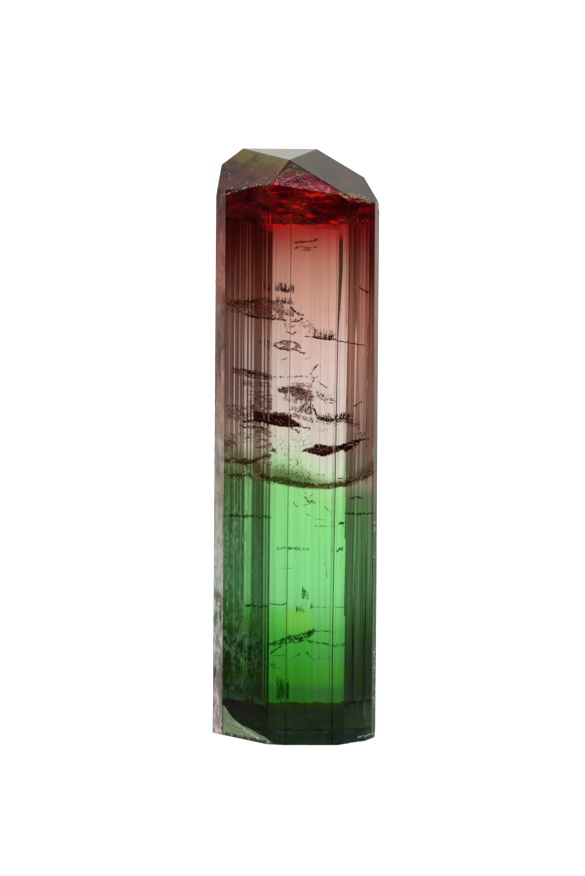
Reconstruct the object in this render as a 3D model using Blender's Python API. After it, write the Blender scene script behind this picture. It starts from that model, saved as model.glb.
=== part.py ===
"""Bicolour (watermelon) tourmaline crystal, one solid, standing on its broken base.

Units are metres, +Z is up along the crystal, -Y is the front (the widest flat
prism face), +X is to its right.  The outline of the prism is given in
millimetres, with depth 0 on the front prism face.
"""
import bpy
import bmesh
from math import sin, cos, tan, radians
from mathutils import Matrix, Vector

MM = 0.001

# ---- driving dimensions -------------------------------------------------
HEIGHT = 61.3            # mm, base to the flat pedion face on top
LEAN = 0.45              # degrees the crystal leans to the right
WINDOW_LEFT = -2.55      # mm, left and right edge of the front prism face
WINDOW_RIGHT = 5.18
DEPTH = 15.6             # mm, front prism face to the parallel back face

# the stepped front-left side: each tread is parallel to the front face,
# each riser slopes back at RISER_ANGLE (from, to in mm, right to left)
TREADS = [(-2.62, -2.78), (-3.10, -3.22), (-3.44, -3.56),
          (-4.50, -4.62), (-4.80, -4.92), (-5.22, -5.36)]
RISER_ANGLE = 48.5
LEFT_SHOULDER_X = -7.55

# the rest of the outline, anticlockwise seen from above (x, depth) in mm
RIGHT_SIDE = [(7.92, 2.03), (8.42, 3.22), (8.50, 7.50), (6.90, 11.65)]
BACK_FACE = [(5.00, DEPTH), (-5.82, DEPTH)]
LEFT_SIDE = [(-7.70, 12.30), (-8.37, 8.75), (-8.45, 5.25)]

# termination: (azimuth, slope, point the plane passes through in mm)
# azimuth 0 faces the front, 90 the right, 180 the back
APEX = (-0.90, 1.46, HEIGHT)          # front corner of the pedion
C_RIGHT = (1.97, 8.74, HEIGHT)        # its back-right corner
C_LEFT = (-5.68, 8.74, HEIGHT)        # its back-left corner
TERMINATION = [
    ("right front rhombohedral face", 68.5, 29.0, APEX),
    ("left front face",              -56.7, 45.0, APEX),
    ("back face",                    180.0, 49.5, C_LEFT),
    ("back right face",              135.0, 45.9, C_RIGHT),
    ("back left face",               225.0, 45.9, C_LEFT),
    ("right corner",                  98.0, 66.0, (6.87, 7.61, 58.56)),
    ("left corner",                  -90.7, 80.0, (-7.88, 8.91, 59.56)),
    ("broken front ridge",             5.2, 59.4, (-0.90, 1.46, 61.20)),
]

# base: chips broken off its edge, (azimuth, upward slope inward->outward, point)
BASE_CHIPS = [
    ("broken back",        180.0, 24.0, (0.0, 9.9, 0.0)),
    ("lower left chip",    -45.9, 72.0, (-4.08, 1.81, 0.0)),
    ("front left nick",    -14.0, 55.0, (-2.10, 0.30, 0.0)),
    ("right nick",          62.0, 44.0, (7.95, 3.05, 0.0)),
    ("right back chip",    124.0, 40.0, (7.00, 9.60, 0.0)),
    ("left back chip",     232.0, 36.0, (-7.20, 9.60, 0.0)),
]


def outline():
    """Prism outline, anticlockwise seen from above, as (x, depth) in mm."""
    pts = [(WINDOW_LEFT, 0.0), (WINDOW_RIGHT, 0.0)]
    pts += RIGHT_SIDE + BACK_FACE + LEFT_SIDE
    # walk the staircase from the window to the left shoulder, then reverse it
    x, depth = WINDOW_LEFT, 0.0
    stairs = []
    for start, end in TREADS:
        depth += (x - start) * tan(radians(RISER_ANGLE))
        stairs.append((start, depth))
        stairs.append((end, depth))
        x = end
    depth += (x - LEFT_SHOULDER_X) * tan(radians(RISER_ANGLE))
    stairs.append((LEFT_SHOULDER_X, min(depth, 4.75)))
    return pts + stairs[::-1]


def prism(name, points, z0, z1):
    """Extrude a closed 2D curve between two heights and return the mesh object."""
    curve = bpy.data.curves.new(name + "_outline", "CURVE")
    curve.dimensions = "2D"
    curve.fill_mode = "BOTH"
    curve.extrude = 0.5 * (z1 - z0) * MM
    spline = curve.splines.new("POLY")
    spline.points.add(len(points) - 1)
    for p, (x, depth) in zip(spline.points, points):
        p.co = (x * MM, depth * MM, 0.0, 1.0)
    spline.use_cyclic_u = True
    temp = bpy.data.objects.new(name + "_curve", curve)
    bpy.context.scene.collection.objects.link(temp)
    depsgraph = bpy.context.evaluated_depsgraph_get()
    mesh = bpy.data.meshes.new_from_object(temp.evaluated_get(depsgraph))
    bpy.data.objects.remove(temp)
    bpy.data.curves.remove(curve)
    mesh.name = name
    bm = bmesh.new()
    bm.from_mesh(mesh)
    bmesh.ops.remove_doubles(bm, verts=bm.verts, dist=1e-6)
    bmesh.ops.translate(bm, verts=bm.verts, vec=(0, 0, 0.5 * (z0 + z1) * MM))
    bm.to_mesh(mesh)
    bm.free()
    return bpy.data.objects.new(name, mesh)


def cut(bm, normal, point):
    """Slice the solid with a plane and close it, dropping what lies outside."""
    geom = bm.verts[:] + bm.edges[:] + bm.faces[:]
    done = bmesh.ops.bisect_plane(bm, geom=geom, dist=1e-7, plane_co=point,
                                  plane_no=normal, clear_outer=True)
    rim = [e for e in done["geom_cut"] if isinstance(e, bmesh.types.BMEdge)]
    if rim:
        bmesh.ops.edgenet_fill(bm, edges=rim)


def direction(azimuth, slope, up=1.0):
    """Outward normal of a face of this slope (0 is level) and azimuth."""
    a, s = radians(azimuth), radians(slope)
    return Vector((sin(a) * sin(s), -cos(a) * sin(s), up * cos(s)))


def main():
    for obj in list(bpy.data.objects):
        bpy.data.objects.remove(obj)

    collection = bpy.data.collections.new("tourmaline_crystal")
    bpy.context.scene.collection.children.link(collection)

    crystal = prism("crystal", outline(), -6.0, HEIGHT + 4.0)
    collection.objects.link(crystal)

    bm = bmesh.new()
    bm.from_mesh(crystal.data)

    # termination faces, in the crystal's own upright frame
    cut(bm, Vector((0, 0, 1)), Vector((0, 0, HEIGHT * MM)))
    for _name, azimuth, slope, point in TERMINATION:
        cut(bm, direction(azimuth, slope), Vector(point) * MM)

    # the prism axis leans a little to the right, about the base centre
    bmesh.ops.transform(bm, verts=bm.verts,
                        matrix=Matrix.Rotation(radians(LEAN), 4, "Y"))

    # level broken base with chips around its edge
    cut(bm, Vector((0, 0, -1)), Vector((0, 0, 0)))
    for _name, azimuth, slope, point in BASE_CHIPS:
        cut(bm, direction(azimuth, slope, up=-1.0), Vector(point) * MM)

    bmesh.ops.remove_doubles(bm, verts=bm.verts, dist=3e-5)
    bmesh.ops.dissolve_degenerate(bm, dist=1e-6, edges=bm.edges)
    bmesh.ops.recalc_face_normals(bm, faces=bm.faces)

    # origin at the centre of the bounding box's bottom
    xs = [v.co.x for v in bm.verts]
    ys = [v.co.y for v in bm.verts]
    zs = [v.co.z for v in bm.verts]
    shift = Vector((-0.5 * (min(xs) + max(xs)), -0.5 * (min(ys) + max(ys)), -min(zs)))
    bmesh.ops.translate(bm, verts=bm.verts, vec=shift)

    bm.to_mesh(crystal.data)
    bm.free()
    for poly in crystal.data.polygons:
        poly.use_smooth = False

    # clear tourmaline: refracting, deep red to green overall reads as a muted rose
    material = bpy.data.materials.new("tourmaline")
    material.use_nodes = True
    bsdf = material.node_tree.nodes["Principled BSDF"]
    bsdf.inputs["Base Color"].default_value = (0.36, 0.42, 0.24, 1.0)
    bsdf.inputs["Roughness"].default_value = 0.06
    bsdf.inputs["Metallic"].default_value = 0.0
    bsdf.inputs["IOR"].default_value = 1.63
    bsdf.inputs["Transmission Weight"].default_value = 0.9
    crystal.data.materials.append(material)


main()
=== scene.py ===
import bpy
import bmesh
import random
from math import sin, cos, tan, atan2, asin, sqrt, radians, degrees, pi, exp, floor
from mathutils import Matrix, Vector, noise
from mathutils.bvhtree import BVHTree

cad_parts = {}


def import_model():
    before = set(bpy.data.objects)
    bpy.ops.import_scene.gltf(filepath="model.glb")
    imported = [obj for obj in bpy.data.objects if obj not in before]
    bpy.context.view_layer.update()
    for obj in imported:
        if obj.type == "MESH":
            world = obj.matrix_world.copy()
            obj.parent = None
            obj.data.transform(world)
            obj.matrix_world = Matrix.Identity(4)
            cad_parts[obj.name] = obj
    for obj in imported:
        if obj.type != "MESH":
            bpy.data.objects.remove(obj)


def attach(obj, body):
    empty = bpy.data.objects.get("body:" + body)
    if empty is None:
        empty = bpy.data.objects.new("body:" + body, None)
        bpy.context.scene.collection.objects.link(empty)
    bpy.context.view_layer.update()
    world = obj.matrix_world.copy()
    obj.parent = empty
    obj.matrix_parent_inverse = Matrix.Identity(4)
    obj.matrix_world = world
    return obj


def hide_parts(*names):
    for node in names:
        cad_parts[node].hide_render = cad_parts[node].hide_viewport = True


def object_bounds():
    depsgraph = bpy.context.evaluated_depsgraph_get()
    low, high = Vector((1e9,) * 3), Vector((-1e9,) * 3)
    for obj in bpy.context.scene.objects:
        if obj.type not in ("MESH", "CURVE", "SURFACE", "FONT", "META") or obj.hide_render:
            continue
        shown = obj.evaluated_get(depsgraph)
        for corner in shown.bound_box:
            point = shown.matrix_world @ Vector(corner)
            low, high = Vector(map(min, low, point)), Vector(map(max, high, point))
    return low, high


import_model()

CAD_LO, CAD_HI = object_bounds()

MM = 0.001
PX = 0.104              # mm that one pixel of the 585x876 frame stands for
HEIGHT = 61.3
LEAN = 0.45
SHIFT = Vector((CAD_LO[0] / MM + 8.4497, -7.8, 0.0))     # from the outline's frame to the part's, mm
IOR = 1.63


CAM_DIST, CAM_EL = 1.2, 10.5
VIEW_AT = Vector((-0.00031, 0.0, 0.0310))
VIEW_BACK = Vector((0.0, -cos(radians(CAM_EL)), sin(radians(CAM_EL))))
VIEW_UP = Vector((0.0, sin(radians(CAM_EL)), cos(radians(CAM_EL))))
VIEW_FROM = VIEW_AT + VIEW_BACK * CAM_DIST


# ------------------------------------------------------------------ helpers
def fnoise(x, y=0.0, z=0.0, seed=0.0):
    """Smooth noise in -1..1."""
    return noise.noise(Vector((x + 17.3 * seed, y - 9.1 * seed, z + 4.7 * seed)))


def fractal(x, y, z, octaves=4, seed=0.0):
    v, a, f = 0.0, 1.0, 1.0
    for _ in range(octaves):
        v += a * fnoise(x * f, y * f, z * f, seed)
        a *= 0.5
        f *= 2.1
    return v


def smooth(a, b, x):
    t = min(1.0, max(0.0, (x - a) / (b - a)))
    return t * t * (3 - 2 * t)


def direction(azimuth, slope, up=1.0):
    a, s = radians(azimuth), radians(slope)
    return Vector((sin(a) * sin(s), -cos(a) * sin(s), up * cos(s)))


# ------------------------------------------------------------------ outline
# The prism's outline as two lists of the same length, one for the top of the
# crystal and one for its foot, between which each striation is carried down.
# Stairs: (distance in px from the axis at the end of the run, azimuth of the run)
LEFT_TOP = [(-26.5, 2), (-27.9, 62), (-29.3, 35), (-30.8, 3), (-32.4, 62), (-34.3, 4),
            (-36.0, 48), (-40.0, 63), (-42.3, 45), (-44.0, 3), (-45.6, 58), (-47.3, 5),
            (-49.3, 55), (-51.6, 6), (-56.0, 50), (-57.0, 20), (-61.0, 52), (-62.0, 15),
            (-66.0, 50), (-67.0, 25), (-72.4, 46)]
LEFT_FOOT = [(-25.4, 4), (-26.3, 60), (-28.6, 2), (-29.0, 40), (-31.4, 2), (-36.0, 55),
             (-43.0, 60), (-46.4, 2), (-46.8, 45), (-50.5, 4), (-54.0, 52), (-55.0, 20),
             (-60.0, 50), (-61.0, 12), (-66.0, 52), (-67.4, 25), (-72.4, 47)]
RIGHT_TOP = [(51.0, 18), (57.3, 40), (58.6, 60), (60.2, 8), (63.0, 36), (63.8, 22),
             (70.0, 37), (71.3, 12), (76.5, 50)]
RIGHT_FOOT = [(44.6, 16), (49.0, 40), (56.4, 42), (57.8, 60), (59.6, 8), (62.4, 38), (63.8, 22),
              (69.6, 36), (71.0, 14), (76.5, 50)]


def stairs(start, runs):
    """Depth (px) as a list of (distance, depth) along a flight of stairs."""
    x, depth = start, 0.0
    pts = [(x, depth)]
    for end, azimuth in runs:
        depth += abs(end - x) * tan(radians(azimuth))
        x = end
        pts.append((x, depth))
    return pts


def finer(runs, seed, step):
    """Break long runs of a flight into shorter treads and risers of their own."""
    rng = random.Random(seed)
    out, x = [], runs[0][0]
    out.append(runs[0])
    for end, azimuth in runs[1:]:
        width, sign = abs(end - x), (1 if end > x else -1)
        if width > step * 1.6 and azimuth > 30:
            at = 0.0
            while at < width - step * 0.9:
                w = rng.uniform(0.45, 1.5) * step
                narrow = rng.uniform(0.25, 0.6)
                out.append((x + sign * min(width, at + w), azimuth + rng.uniform(-9, 9)))
                out.append((x + sign * min(width, at + w + narrow), max(14.0, azimuth - rng.uniform(14, 30))))
                at += w + narrow
        out.append((end, azimuth))
        x = end
    clean, last = [], None
    for end, azimuth in out:
        if last is None or abs(end - last) > 0.12:
            clean.append((end, azimuth))
            last = end
    return clean


def depth_at(pts, x):
    lo, hi = (pts[0], pts[-1])
    step = 1 if pts[-1][0] > pts[0][0] else -1
    for a, b in zip(pts, pts[1:]):
        if (x - a[0]) * step >= -1e-9 and (b[0] - x) * step >= -1e-9:
            t = 0.0 if b[0] == a[0] else (x - a[0]) / (b[0] - a[0])
            return a[1] + (b[1] - a[1]) * t
    return hi[1] if (x - hi[0]) * step > 0 else lo[1]


def flight(start_top, top, start_foot, foot):
    """Columns of a striated side: (x top, depth top, x foot, depth foot)."""
    a, b = stairs(start_top, top), stairs(start_foot, foot)
    la = (a[-1][0] - a[0][0])
    lb = (b[-1][0] - b[0][0])
    ts = sorted({round((p[0] - a[0][0]) / la, 5) for p in a} |
                {round((p[0] - b[0][0]) / lb, 5) for p in b})
    out = []
    for t in ts:
        xa, xb = a[0][0] + t * la, b[0][0] + t * lb
        out.append((xa, depth_at(a, xa), xb, depth_at(b, xb)))
    return out


def striate(rng, a, b, pitch, amp):
    """Points from a to b (mm) with fine steps pressed into the outline."""
    (ax, ay), (bx, by) = a, b
    length = sqrt((bx - ax) ** 2 + (by - ay) ** 2)
    nx, ny = -(by - ay) / length, (bx - ax) / length      # inward for a ccw outline
    t, out, level = 0.0, [], 0.0
    while True:
        run = rng.uniform(0.35, 1.8) * pitch
        t2 = t + run
        if t2 > length - 0.6 * pitch:
            break
        rise = rng.uniform(0.012, 0.03)
        new = rng.uniform(0.0, amp)
        out.append((ax + (bx - ax) * t2 / length + nx * level, ay + (by - ay) * t2 / length + ny * level))
        t2 += rise
        out.append((ax + (bx - ax) * t2 / length + nx * new, ay + (by - ay) * t2 / length + ny * new))
        level, t = new, t2
    return out


# narrow grooves running down the two flat faces: (px from the axis, half width mm,
# depth mm), the same line drifting a little from the top to the foot
FRONT_GROOVES = [(-6.3, -7.7, 0.050, 0.060), (12.0, 11.4, 0.030, 0.010), (24.0, 23.5, 0.025, 0.008),
                 (39.3, 34.9, 0.055, 0.095), (41.4, 35.7, 0.050, 0.060), (43.6, 40.6, 0.030, 0.016), (-17.5, -18.0, 0.030, 0.010),
                 (31.5, 31.0, 0.03, 0.006), (4.0, 3.4, 0.02, 0.006)]
BACK_RIGHT = 5.0           # mm from the axis
BACK_GROOVES = [(30.0, 30.0, 0.05, 0.012), (5.0, 5.0, 0.04, 0.015), (-20.0, -20.0, 0.05, 0.020),
                (-36.0, -36.0, 0.06, 0.03), (-45.0, -45.0, 0.05, 0.04), (18.0, 18.0, 0.03, 0.008)]


def grooved(grooves, depth, inward, reverse=False):
    cols = []
    for top, foot, half, deep in sorted(grooves, reverse=reverse):
        s = -1 if reverse else 1
        for off, d in ((-half, 0.0), (-0.25 * half, deep), (0.25 * half, deep), (half, 0.0)):
            cols.append((top * PX + s * off, depth + inward * d, foot * PX + s * off, depth + inward * d))
    return cols


def outline_columns():
    """All columns, anticlockwise from above: (x top, y top, x foot, y foot, kind) in mm."""
    rng = random.Random(4)
    cols = []

    def add(points, kind):
        for p in points:
            cols.append((*p, kind))

    # front face between the window's edges, each edge worn to a narrow bevel
    add([(-24.3 * PX, 0.0, -24.9 * PX, 0.0)], "front")
    add(grooved(FRONT_GROOVES, 0.0, 1.0), "front")
    right = flight(49.8, finer(RIGHT_TOP, 7, 2.4), 43.6, finer(RIGHT_FOOT, 9, 2.4))
    add([(xa * PX, da * PX, xb * PX + 0.09 * smooth(60.0, 76.0, xb), db * PX) for xa, da, xb, db in right], "right")
    corner = (right[-1][0] * PX, right[-1][1] * PX)
    add([(x, y, x + 0.09, y) for x, y in striate(rng, corner, (8.42, 3.30), 0.35, 0.03)], "strip")
    add([(8.42, 3.30, 8.51, 3.30)], "side")
    add([(x, y, x + 0.09, y) for x, y in striate(rng, (8.42, 3.30), (8.50, 7.5), 0.24, 0.06)], "side")
    add([(8.50, 7.5, 8.59, 7.5)], "side")
    add([(x, y, x, y) for x, y in striate(rng, (8.50, 7.5), (6.90, 11.65), 0.22, 0.07)], "side")
    add([(6.90, 11.65, 6.90, 11.65)], "side")
    add([(x, y, x, y) for x, y in striate(rng, (6.90, 11.65), (BACK_RIGHT, 15.6), 0.30, 0.06)], "side")
    add([(BACK_RIGHT, 15.6, BACK_RIGHT - 0.07, 15.6)], "back")
    add(grooved(BACK_GROOVES, 15.6, -1.0, reverse=True), "back")
    add([(-5.82, 15.6, -5.82, 15.6)], "back")
    add([(x, y, x, y) for x, y in striate(rng, (-5.82, 15.6), (-7.70, 12.3), 0.26, 0.06)], "side")
    add([(-7.70, 12.3, -7.70, 12.3)], "side")
    add([(x, y, x, y) for x, y in striate(rng, (-7.70, 12.3), (-8.37, 8.75), 0.22, 0.07)], "side")
    add([(-8.37, 8.75, -8.37, 8.75)], "side")
    add([(x, y, x, y) for x, y in striate(rng, (-8.37, 8.75), (-8.45, 6.2), 0.2, 0.05)], "side")
    # bruised front-left edge, finely divided so that it can be roughened
    n = 9
    for i in range(n):
        t = i / n
        x = -8.45 + (-7.53 + 8.45) * t ** 1.3
        y = 6.2 + (4.80 - 6.2) * t
        cols.append((x, y, x, y, "bruise"))
    left = flight(-24.3, finer(LEFT_TOP, 3, 2.2), -24.9, finer(LEFT_FOOT, 5, 2.6))[::-1]
    add([(xa * PX, da * PX, xb * PX, db * PX) for xa, da, xb, db in left[:-1]], "left")
    return cols


# -------------------------------------------------------------------- shell
APEX = (-0.90, 1.46, HEIGHT)
C_RIGHT = (1.97, 8.74, HEIGHT)
C_LEFT = (-5.68, 8.74, HEIGHT)
TERMINATION = [
    (68.5, 29.0, APEX, "r"), (-56.7, 45.0, APEX, "l"), (180.0, 49.5, C_LEFT, "b"),
    (135.0, 45.9, C_RIGHT, "o"), (225.0, 45.9, C_LEFT, "o2"),
    (98.0, 66.0, (6.87, 7.61, 58.56), "rc"), (-90.7, 80.0, (-7.88, 8.91, 59.56), "lc"),
    (5.2, 59.4, (-0.90, 1.46, 61.20), "ridge")]
BASE_CHIPS = [
    (180.0, 24.0, (0.0, 9.9, 0.0)), (-45.9, 72.0, (-4.08, 1.81, 0.0)),
    (-14.0, 55.0, (-2.10, 0.30, 0.0)), (62.0, 44.0, (7.95, 3.05, 0.0)),
    (124.0, 40.0, (7.00, 9.60, 0.0)), (232.0, 36.0, (-7.20, 9.60, 0.0))]


def foot_mix(x, kind, z):
    """0 where a column follows the top outline, 1 where it follows the foot's."""
    if kind == "left":
        return smooth(30.8, 26.6, z)
    return smooth(50.0, 6.0, z)


def build_shell():
    cols = outline_columns()
    n = len(cols)
    left_end = [c for c in cols if c[4] == "left"][0][2:4]
    rng = random.Random(11)
    zs = []
    z = -2.0
    while z < HEIGHT + 2.0:
        zs.append(z)
        z += 0.34
    bm = bmesh.new()
    colid = bm.faces.layers.int.new("column")
    # every striated column steps in or out a little at a few heights of its own
    ledges = []
    group = 0.0
    for i, c in enumerate(cols):
        if i % 3 == 0:
            group = [(rng.uniform(0, HEIGHT), rng.uniform(-0.014, 0.014)) for _ in range(3)]
        ledges.append(group)
    rows = []
    for z in zs:
        row = []
        for i, (xt, yt, xf, yf, kind) in enumerate(cols):
            m = foot_mix(xt, kind, z)
            x, y = xt + (xf - xt) * m, yt + (yf - yt) * m
            if kind == "left" and z < 5.5:
                chord = left_end[1] * (x + 24.9 * PX) / (left_end[0] + 24.9 * PX)
                y += (chord - y) * smooth(4.9, 4.3, z)
            if kind in ("side", "left", "strip", "right"):
                px, py = cols[i - 1][0], cols[i - 1][1]
                qx, qy = cols[(i + 1) % n][0], cols[(i + 1) % n][1]
                dx, dy = qx - px, qy - py
                l = sqrt(dx * dx + dy * dy) or 1.0
                off = sum(s for at, s in ledges[i] if z > at)
                off = 0.02 + off
                if kind != "side":
                    off *= 0.45
                x += -dy / l * off
                y += dx / l * off
            if kind == "bruise":
                a = fractal(x * 1.2, y * 1.2, z * 1.1, 4, 2.0)
                b = fractal(x * 5.0, y * 5.0, z * 4.0, 3, 7.0)
                deep = 0.05 + 0.07 * a + 0.045 * b
                pit = max(0.0, fnoise(z * 0.55, x, 3.0, 9.0) - 0.25) * 0.35
                deep = max(0.0, deep + pit)
                x += deep * 0.75
                y += deep * 0.66
            row.append(bm.verts.new((x * MM, y * MM, z * MM)))
        rows.append(row)
    for r, s in zip(rows, rows[1:]):
        for i in range(n):
            j = (i + 1) % n
            bm.faces.new((r[i], r[j], s[j], s[i]))[colid] = i + 1
    bm.faces.new(rows[0][::-1])
    bm.faces.new(rows[-1])
    return bm, cols


def cut(bm, normal, point, tag=None, layer=None):
    done = bmesh.ops.bisect_plane(bm, geom=bm.verts[:] + bm.edges[:] + bm.faces[:], dist=1e-8,
                                  plane_co=point, plane_no=normal, clear_outer=True)
    rim = [e for e in done["geom_cut"] if isinstance(e, bmesh.types.BMEdge)]
    made = bmesh.ops.edgenet_fill(bm, edges=rim)["faces"] if rim else []
    for f in made:
        if f.normal.dot(normal) < 0:
            f.normal_flip()
        if layer is not None:
            f[layer] = tag
    return made


def grid_cut(bm, layer, tag, normal, pitch, jitter, seed):
    """Divide one broken face into a fine grid without touching the others."""
    rng = random.Random(seed)
    u = normal.orthogonal().normalized()
    v = normal.cross(u)
    for axis in (u, v, (u + v * 0.9).normalized()):
        faces = [f for f in bm.faces if f[layer] == tag]
        vals = [w.co.dot(axis) for f in faces for w in f.verts]
        if not vals:
            return
        at, hi = min(vals) + pitch * 0.5, max(vals)
        while at < hi:
            faces = [f for f in bm.faces if f[layer] == tag]
            geom = faces + list({e for f in faces for e in f.edges}) + list({w for f in faces for w in f.verts})
            bmesh.ops.bisect_plane(bm, geom=geom, dist=1e-8, plane_co=axis * at, plane_no=axis)
            at += pitch * rng.uniform(1 - jitter, 1 + jitter)


def roughen(bm, layer, tag, normal, height):
    """Move the inner points of a broken face along its normal."""
    faces = [f for f in bm.faces if f[layer] == tag]
    inner = set()
    for f in faces:
        for w in f.verts:
            if all(g[layer] == tag for g in w.link_faces):
                inner.add(w)
    for w in inner:
        w.co += normal * (height(w.co / MM) * MM)
    return inner


TAGS = {"wall": 0, "r": 1, "l": 2, "b": 3, "o": 4, "o2": 5, "rc": 6, "lc": 7, "ridge": 8,
        "c": 9, "base": 10, "chip0": 11, "chip1": 12, "chip2": 13, "chip3": 14, "chip4": 15, "chip5": 16}


def make_shell():
    bm, cols = build_shell()
    layer = bm.faces.layers.int.new("facet")
    cut(bm, Vector((0, 0, 1)), Vector((0, 0, HEIGHT * MM)), TAGS["c"], layer)
    for azimuth, slope, point, name in TERMINATION:
        cut(bm, direction(azimuth, slope), Vector(point) * MM, TAGS[name], layer)
    bmesh.ops.transform(bm, verts=bm.verts, matrix=Matrix.Rotation(radians(LEAN), 4, "Y"))
    cut(bm, Vector((0, 0, -1)), Vector((0, 0, 0)), TAGS["base"], layer)
    for i, (azimuth, slope, point) in enumerate(BASE_CHIPS):
        cut(bm, direction(azimuth, slope, -1.0), Vector(point) * MM, TAGS["chip%d" % i], layer)
    bmesh.ops.translate(bm, verts=bm.verts, vec=SHIFT * MM)

    # broken surfaces
    ridge_n = direction(5.2, 59.4)
    grid_cut(bm, layer, TAGS["ridge"], ridge_n, 0.20 * MM, 0.5, 1)
    roughen(bm, layer, TAGS["ridge"], ridge_n,
            lambda p: -0.10 - 0.10 * fractal(p.x * 1.3, p.y * 1.3, p.z * 1.3, 2, 1.0)
            - 0.10 * abs(fractal(p.x * 4.5, p.y * 4.5, p.z * 4.5, 3, 4.0)))
    back_n = direction(180.0, 49.5)
    grid_cut(bm, layer, TAGS["b"], back_n, 0.28 * MM, 0.5, 3)
    roughen(bm, layer, TAGS["b"], back_n,
            lambda p: -0.12 - 0.16 * fractal(p.x * 0.75, p.y * 0.75, p.z * 0.75, 3, 31.0)
            - 0.03 * fractal(p.x * 3.0, p.y * 3.0, p.z * 3.0, 2, 33.0))
    grid_cut(bm, layer, TAGS["base"], Vector((0, 0, 1)), 0.55 * MM, 0.5, 2)
    roughen(bm, layer, TAGS["base"], Vector((0, 0, 1)),
            lambda p: max(0.0, 0.10 + 0.16 * fractal(p.x * 0.5, p.y * 0.5, 0, 4, 6.0)))
    for i, (pitch, amp, scale) in enumerate([(0.45, 0.16, 0.6), (0.24, 0.10, 1.1), (0.2, 0.03, 1.5),
                                             (0.2, 0.03, 1.5), (0.4, 0.08, 0.8), (0.4, 0.08, 0.8)]):
        azimuth, slope, point = BASE_CHIPS[i]
        nrm = direction(azimuth, slope, -1.0)
        grid_cut(bm, layer, TAGS["chip%d" % i], nrm, pitch * MM, 0.4, 10 + i)
        roughen(bm, layer, TAGS["chip%d" % i], nrm,
                lambda p, a=amp, s=scale, k=i: -a * (0.6 + 0.8 * fractal(p.x * s, p.y * s, p.z * s, 4, 20.0 + k)
                                                    + 0.25 * sin(6.0 * s * (p.x * 0.7 + p.z))) if True else 0)
    bmesh.ops.triangulate(bm, faces=[f for f in bm.faces if len(f.verts) > 4])
    bmesh.ops.recalc_face_normals(bm, faces=bm.faces)

    # how broken each face is, as a colour attribute the material reads:
    # red = broken and matte, green = bruised edge, blue = termination face
    mesh = bpy.data.meshes.new("crystal_surface")
    facets = [f[layer] for f in bm.faces]
    colid = bm.faces.layers.int["column"]
    columns = [f[colid] for f in bm.faces]
    bm.to_mesh(mesh)
    bm.free()
    bmb = {TAGS["base"]: 1.0, TAGS["ridge"]: 0.85, TAGS["chip0"]: 1.0, TAGS["chip1"]: 0.0, TAGS["chip2"]: 0.0,
           TAGS["chip3"]: 0.6, TAGS["chip4"]: 0.9, TAGS["chip5"]: 0.9, TAGS["lc"]: 0.4}
    col = mesh.color_attributes.new("wear", "FLOAT_COLOR", "CORNER")
    # second colour attribute: red = how much painted shade a face of the striated sides takes, green = dull grey facet,
    # blue = etched termination face
    painted_shade_marks = mesh.color_attributes.new("painted_shade_marks", "FLOAT_COLOR", "CORNER")
    rng = random.Random(23)
    chance = [rng.random() for _ in range(len(cols) + 2)]
    top = {TAGS["r"]: 1.0, TAGS["l"]: 1.0, TAGS["rc"]: 0.8, TAGS["lc"]: 0.8, TAGS["c"]: 0.9}
    etch = {TAGS["l"]: 1.0, TAGS["lc"]: 1.0, TAGS["r"]: 0.35, TAGS["rc"]: 0.5, TAGS["c"]: 0.55}
    for p in mesh.polygons:
        c = p.center / MM
        t = facets[p.index]
        red = bmb.get(t, 0.0)
        lean = c.x - c.z * tan(radians(LEAN)) - SHIFT.x
        green = 0.0
        if (t == 0 or t >= TAGS["chip0"]) and lean < -7.45 and c.y < -7.8 + 6.4:
            green = 1.0
        blue = top.get(t, 0.0)
        # painted shade on the striated sides, by how steep each step is to the front: flat treads stay clear and the
        # risers between them are painted dark
        painted_side_shade, grey = 0.0, 0.0
        if t == 0:
            azimuth = abs(degrees(atan2(p.normal.x, -p.normal.y)))
            flank = lean < -24.3 * PX or lean > 49.9 * PX
            steep = smooth(8.0, 30.0, azimuth)
            r = chance[columns[p.index]]
            if flank and azimuth < 80.0:
                base = 0.50 if lean < 0 else 0.40
                if lean < 0:
                    base += 0.38 * smooth(41.0, 47.0, c.z) + 0.12 * smooth(48.0, 52.0, c.z)
                base += (0.76 - base) * smooth(31.0, 27.0, c.z)
                if lean < 0:
                    base += 0.16 * smooth(-5.9, -6.3, lean) * smooth(29.0, 26.0, c.z)
                    near = smooth(-3.9, -3.2, lean)
                    lit = smooth(-5.9, -5.5, lean) * smooth(-4.5, -4.8, lean)
                    base += (0.16 * near - 0.30 * lit) * smooth(29.0, 26.0, c.z)
                    base += 0.14 * near * smooth(31.0, 33.0, c.z)
                base = min(1.0, base)
                base += (0.95 - base) * smooth(15.5, 11.0, c.z)
                painted_side_shade = base * (0.85 + 0.3 * r)
                painted_side_shade += (1.0 - painted_side_shade) * steep
            elif azimuth >= 80.0:
                painted_side_shade = 0.25 + 0.55 * r * smooth(178.0, 150.0, azimuth)
                if lean > 0 and azimuth > 105.0:
                    painted_side_shade = 0.10 + 0.40 * r
            kind = cols[(columns[p.index] - 1) % len(cols)][4]
            if kind == "strip" or (kind == "side" and lean > 8.2 and c.y < -7.8 + 4.5):
                grey = 1.0
        etched = etch.get(t, 0.0)
        for li in p.loop_indices:
            col.data[li].color = (red, green, blue, 1.0)
            painted_shade_marks.data[li].color = (min(1.0, painted_side_shade), grey, etched, 1.0)
    for p in mesh.polygons:
        p.use_smooth = False
    ob = bpy.data.objects.new("crystal_surface", mesh)
    bpy.context.scene.collection.objects.link(ob)
    return ob


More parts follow.
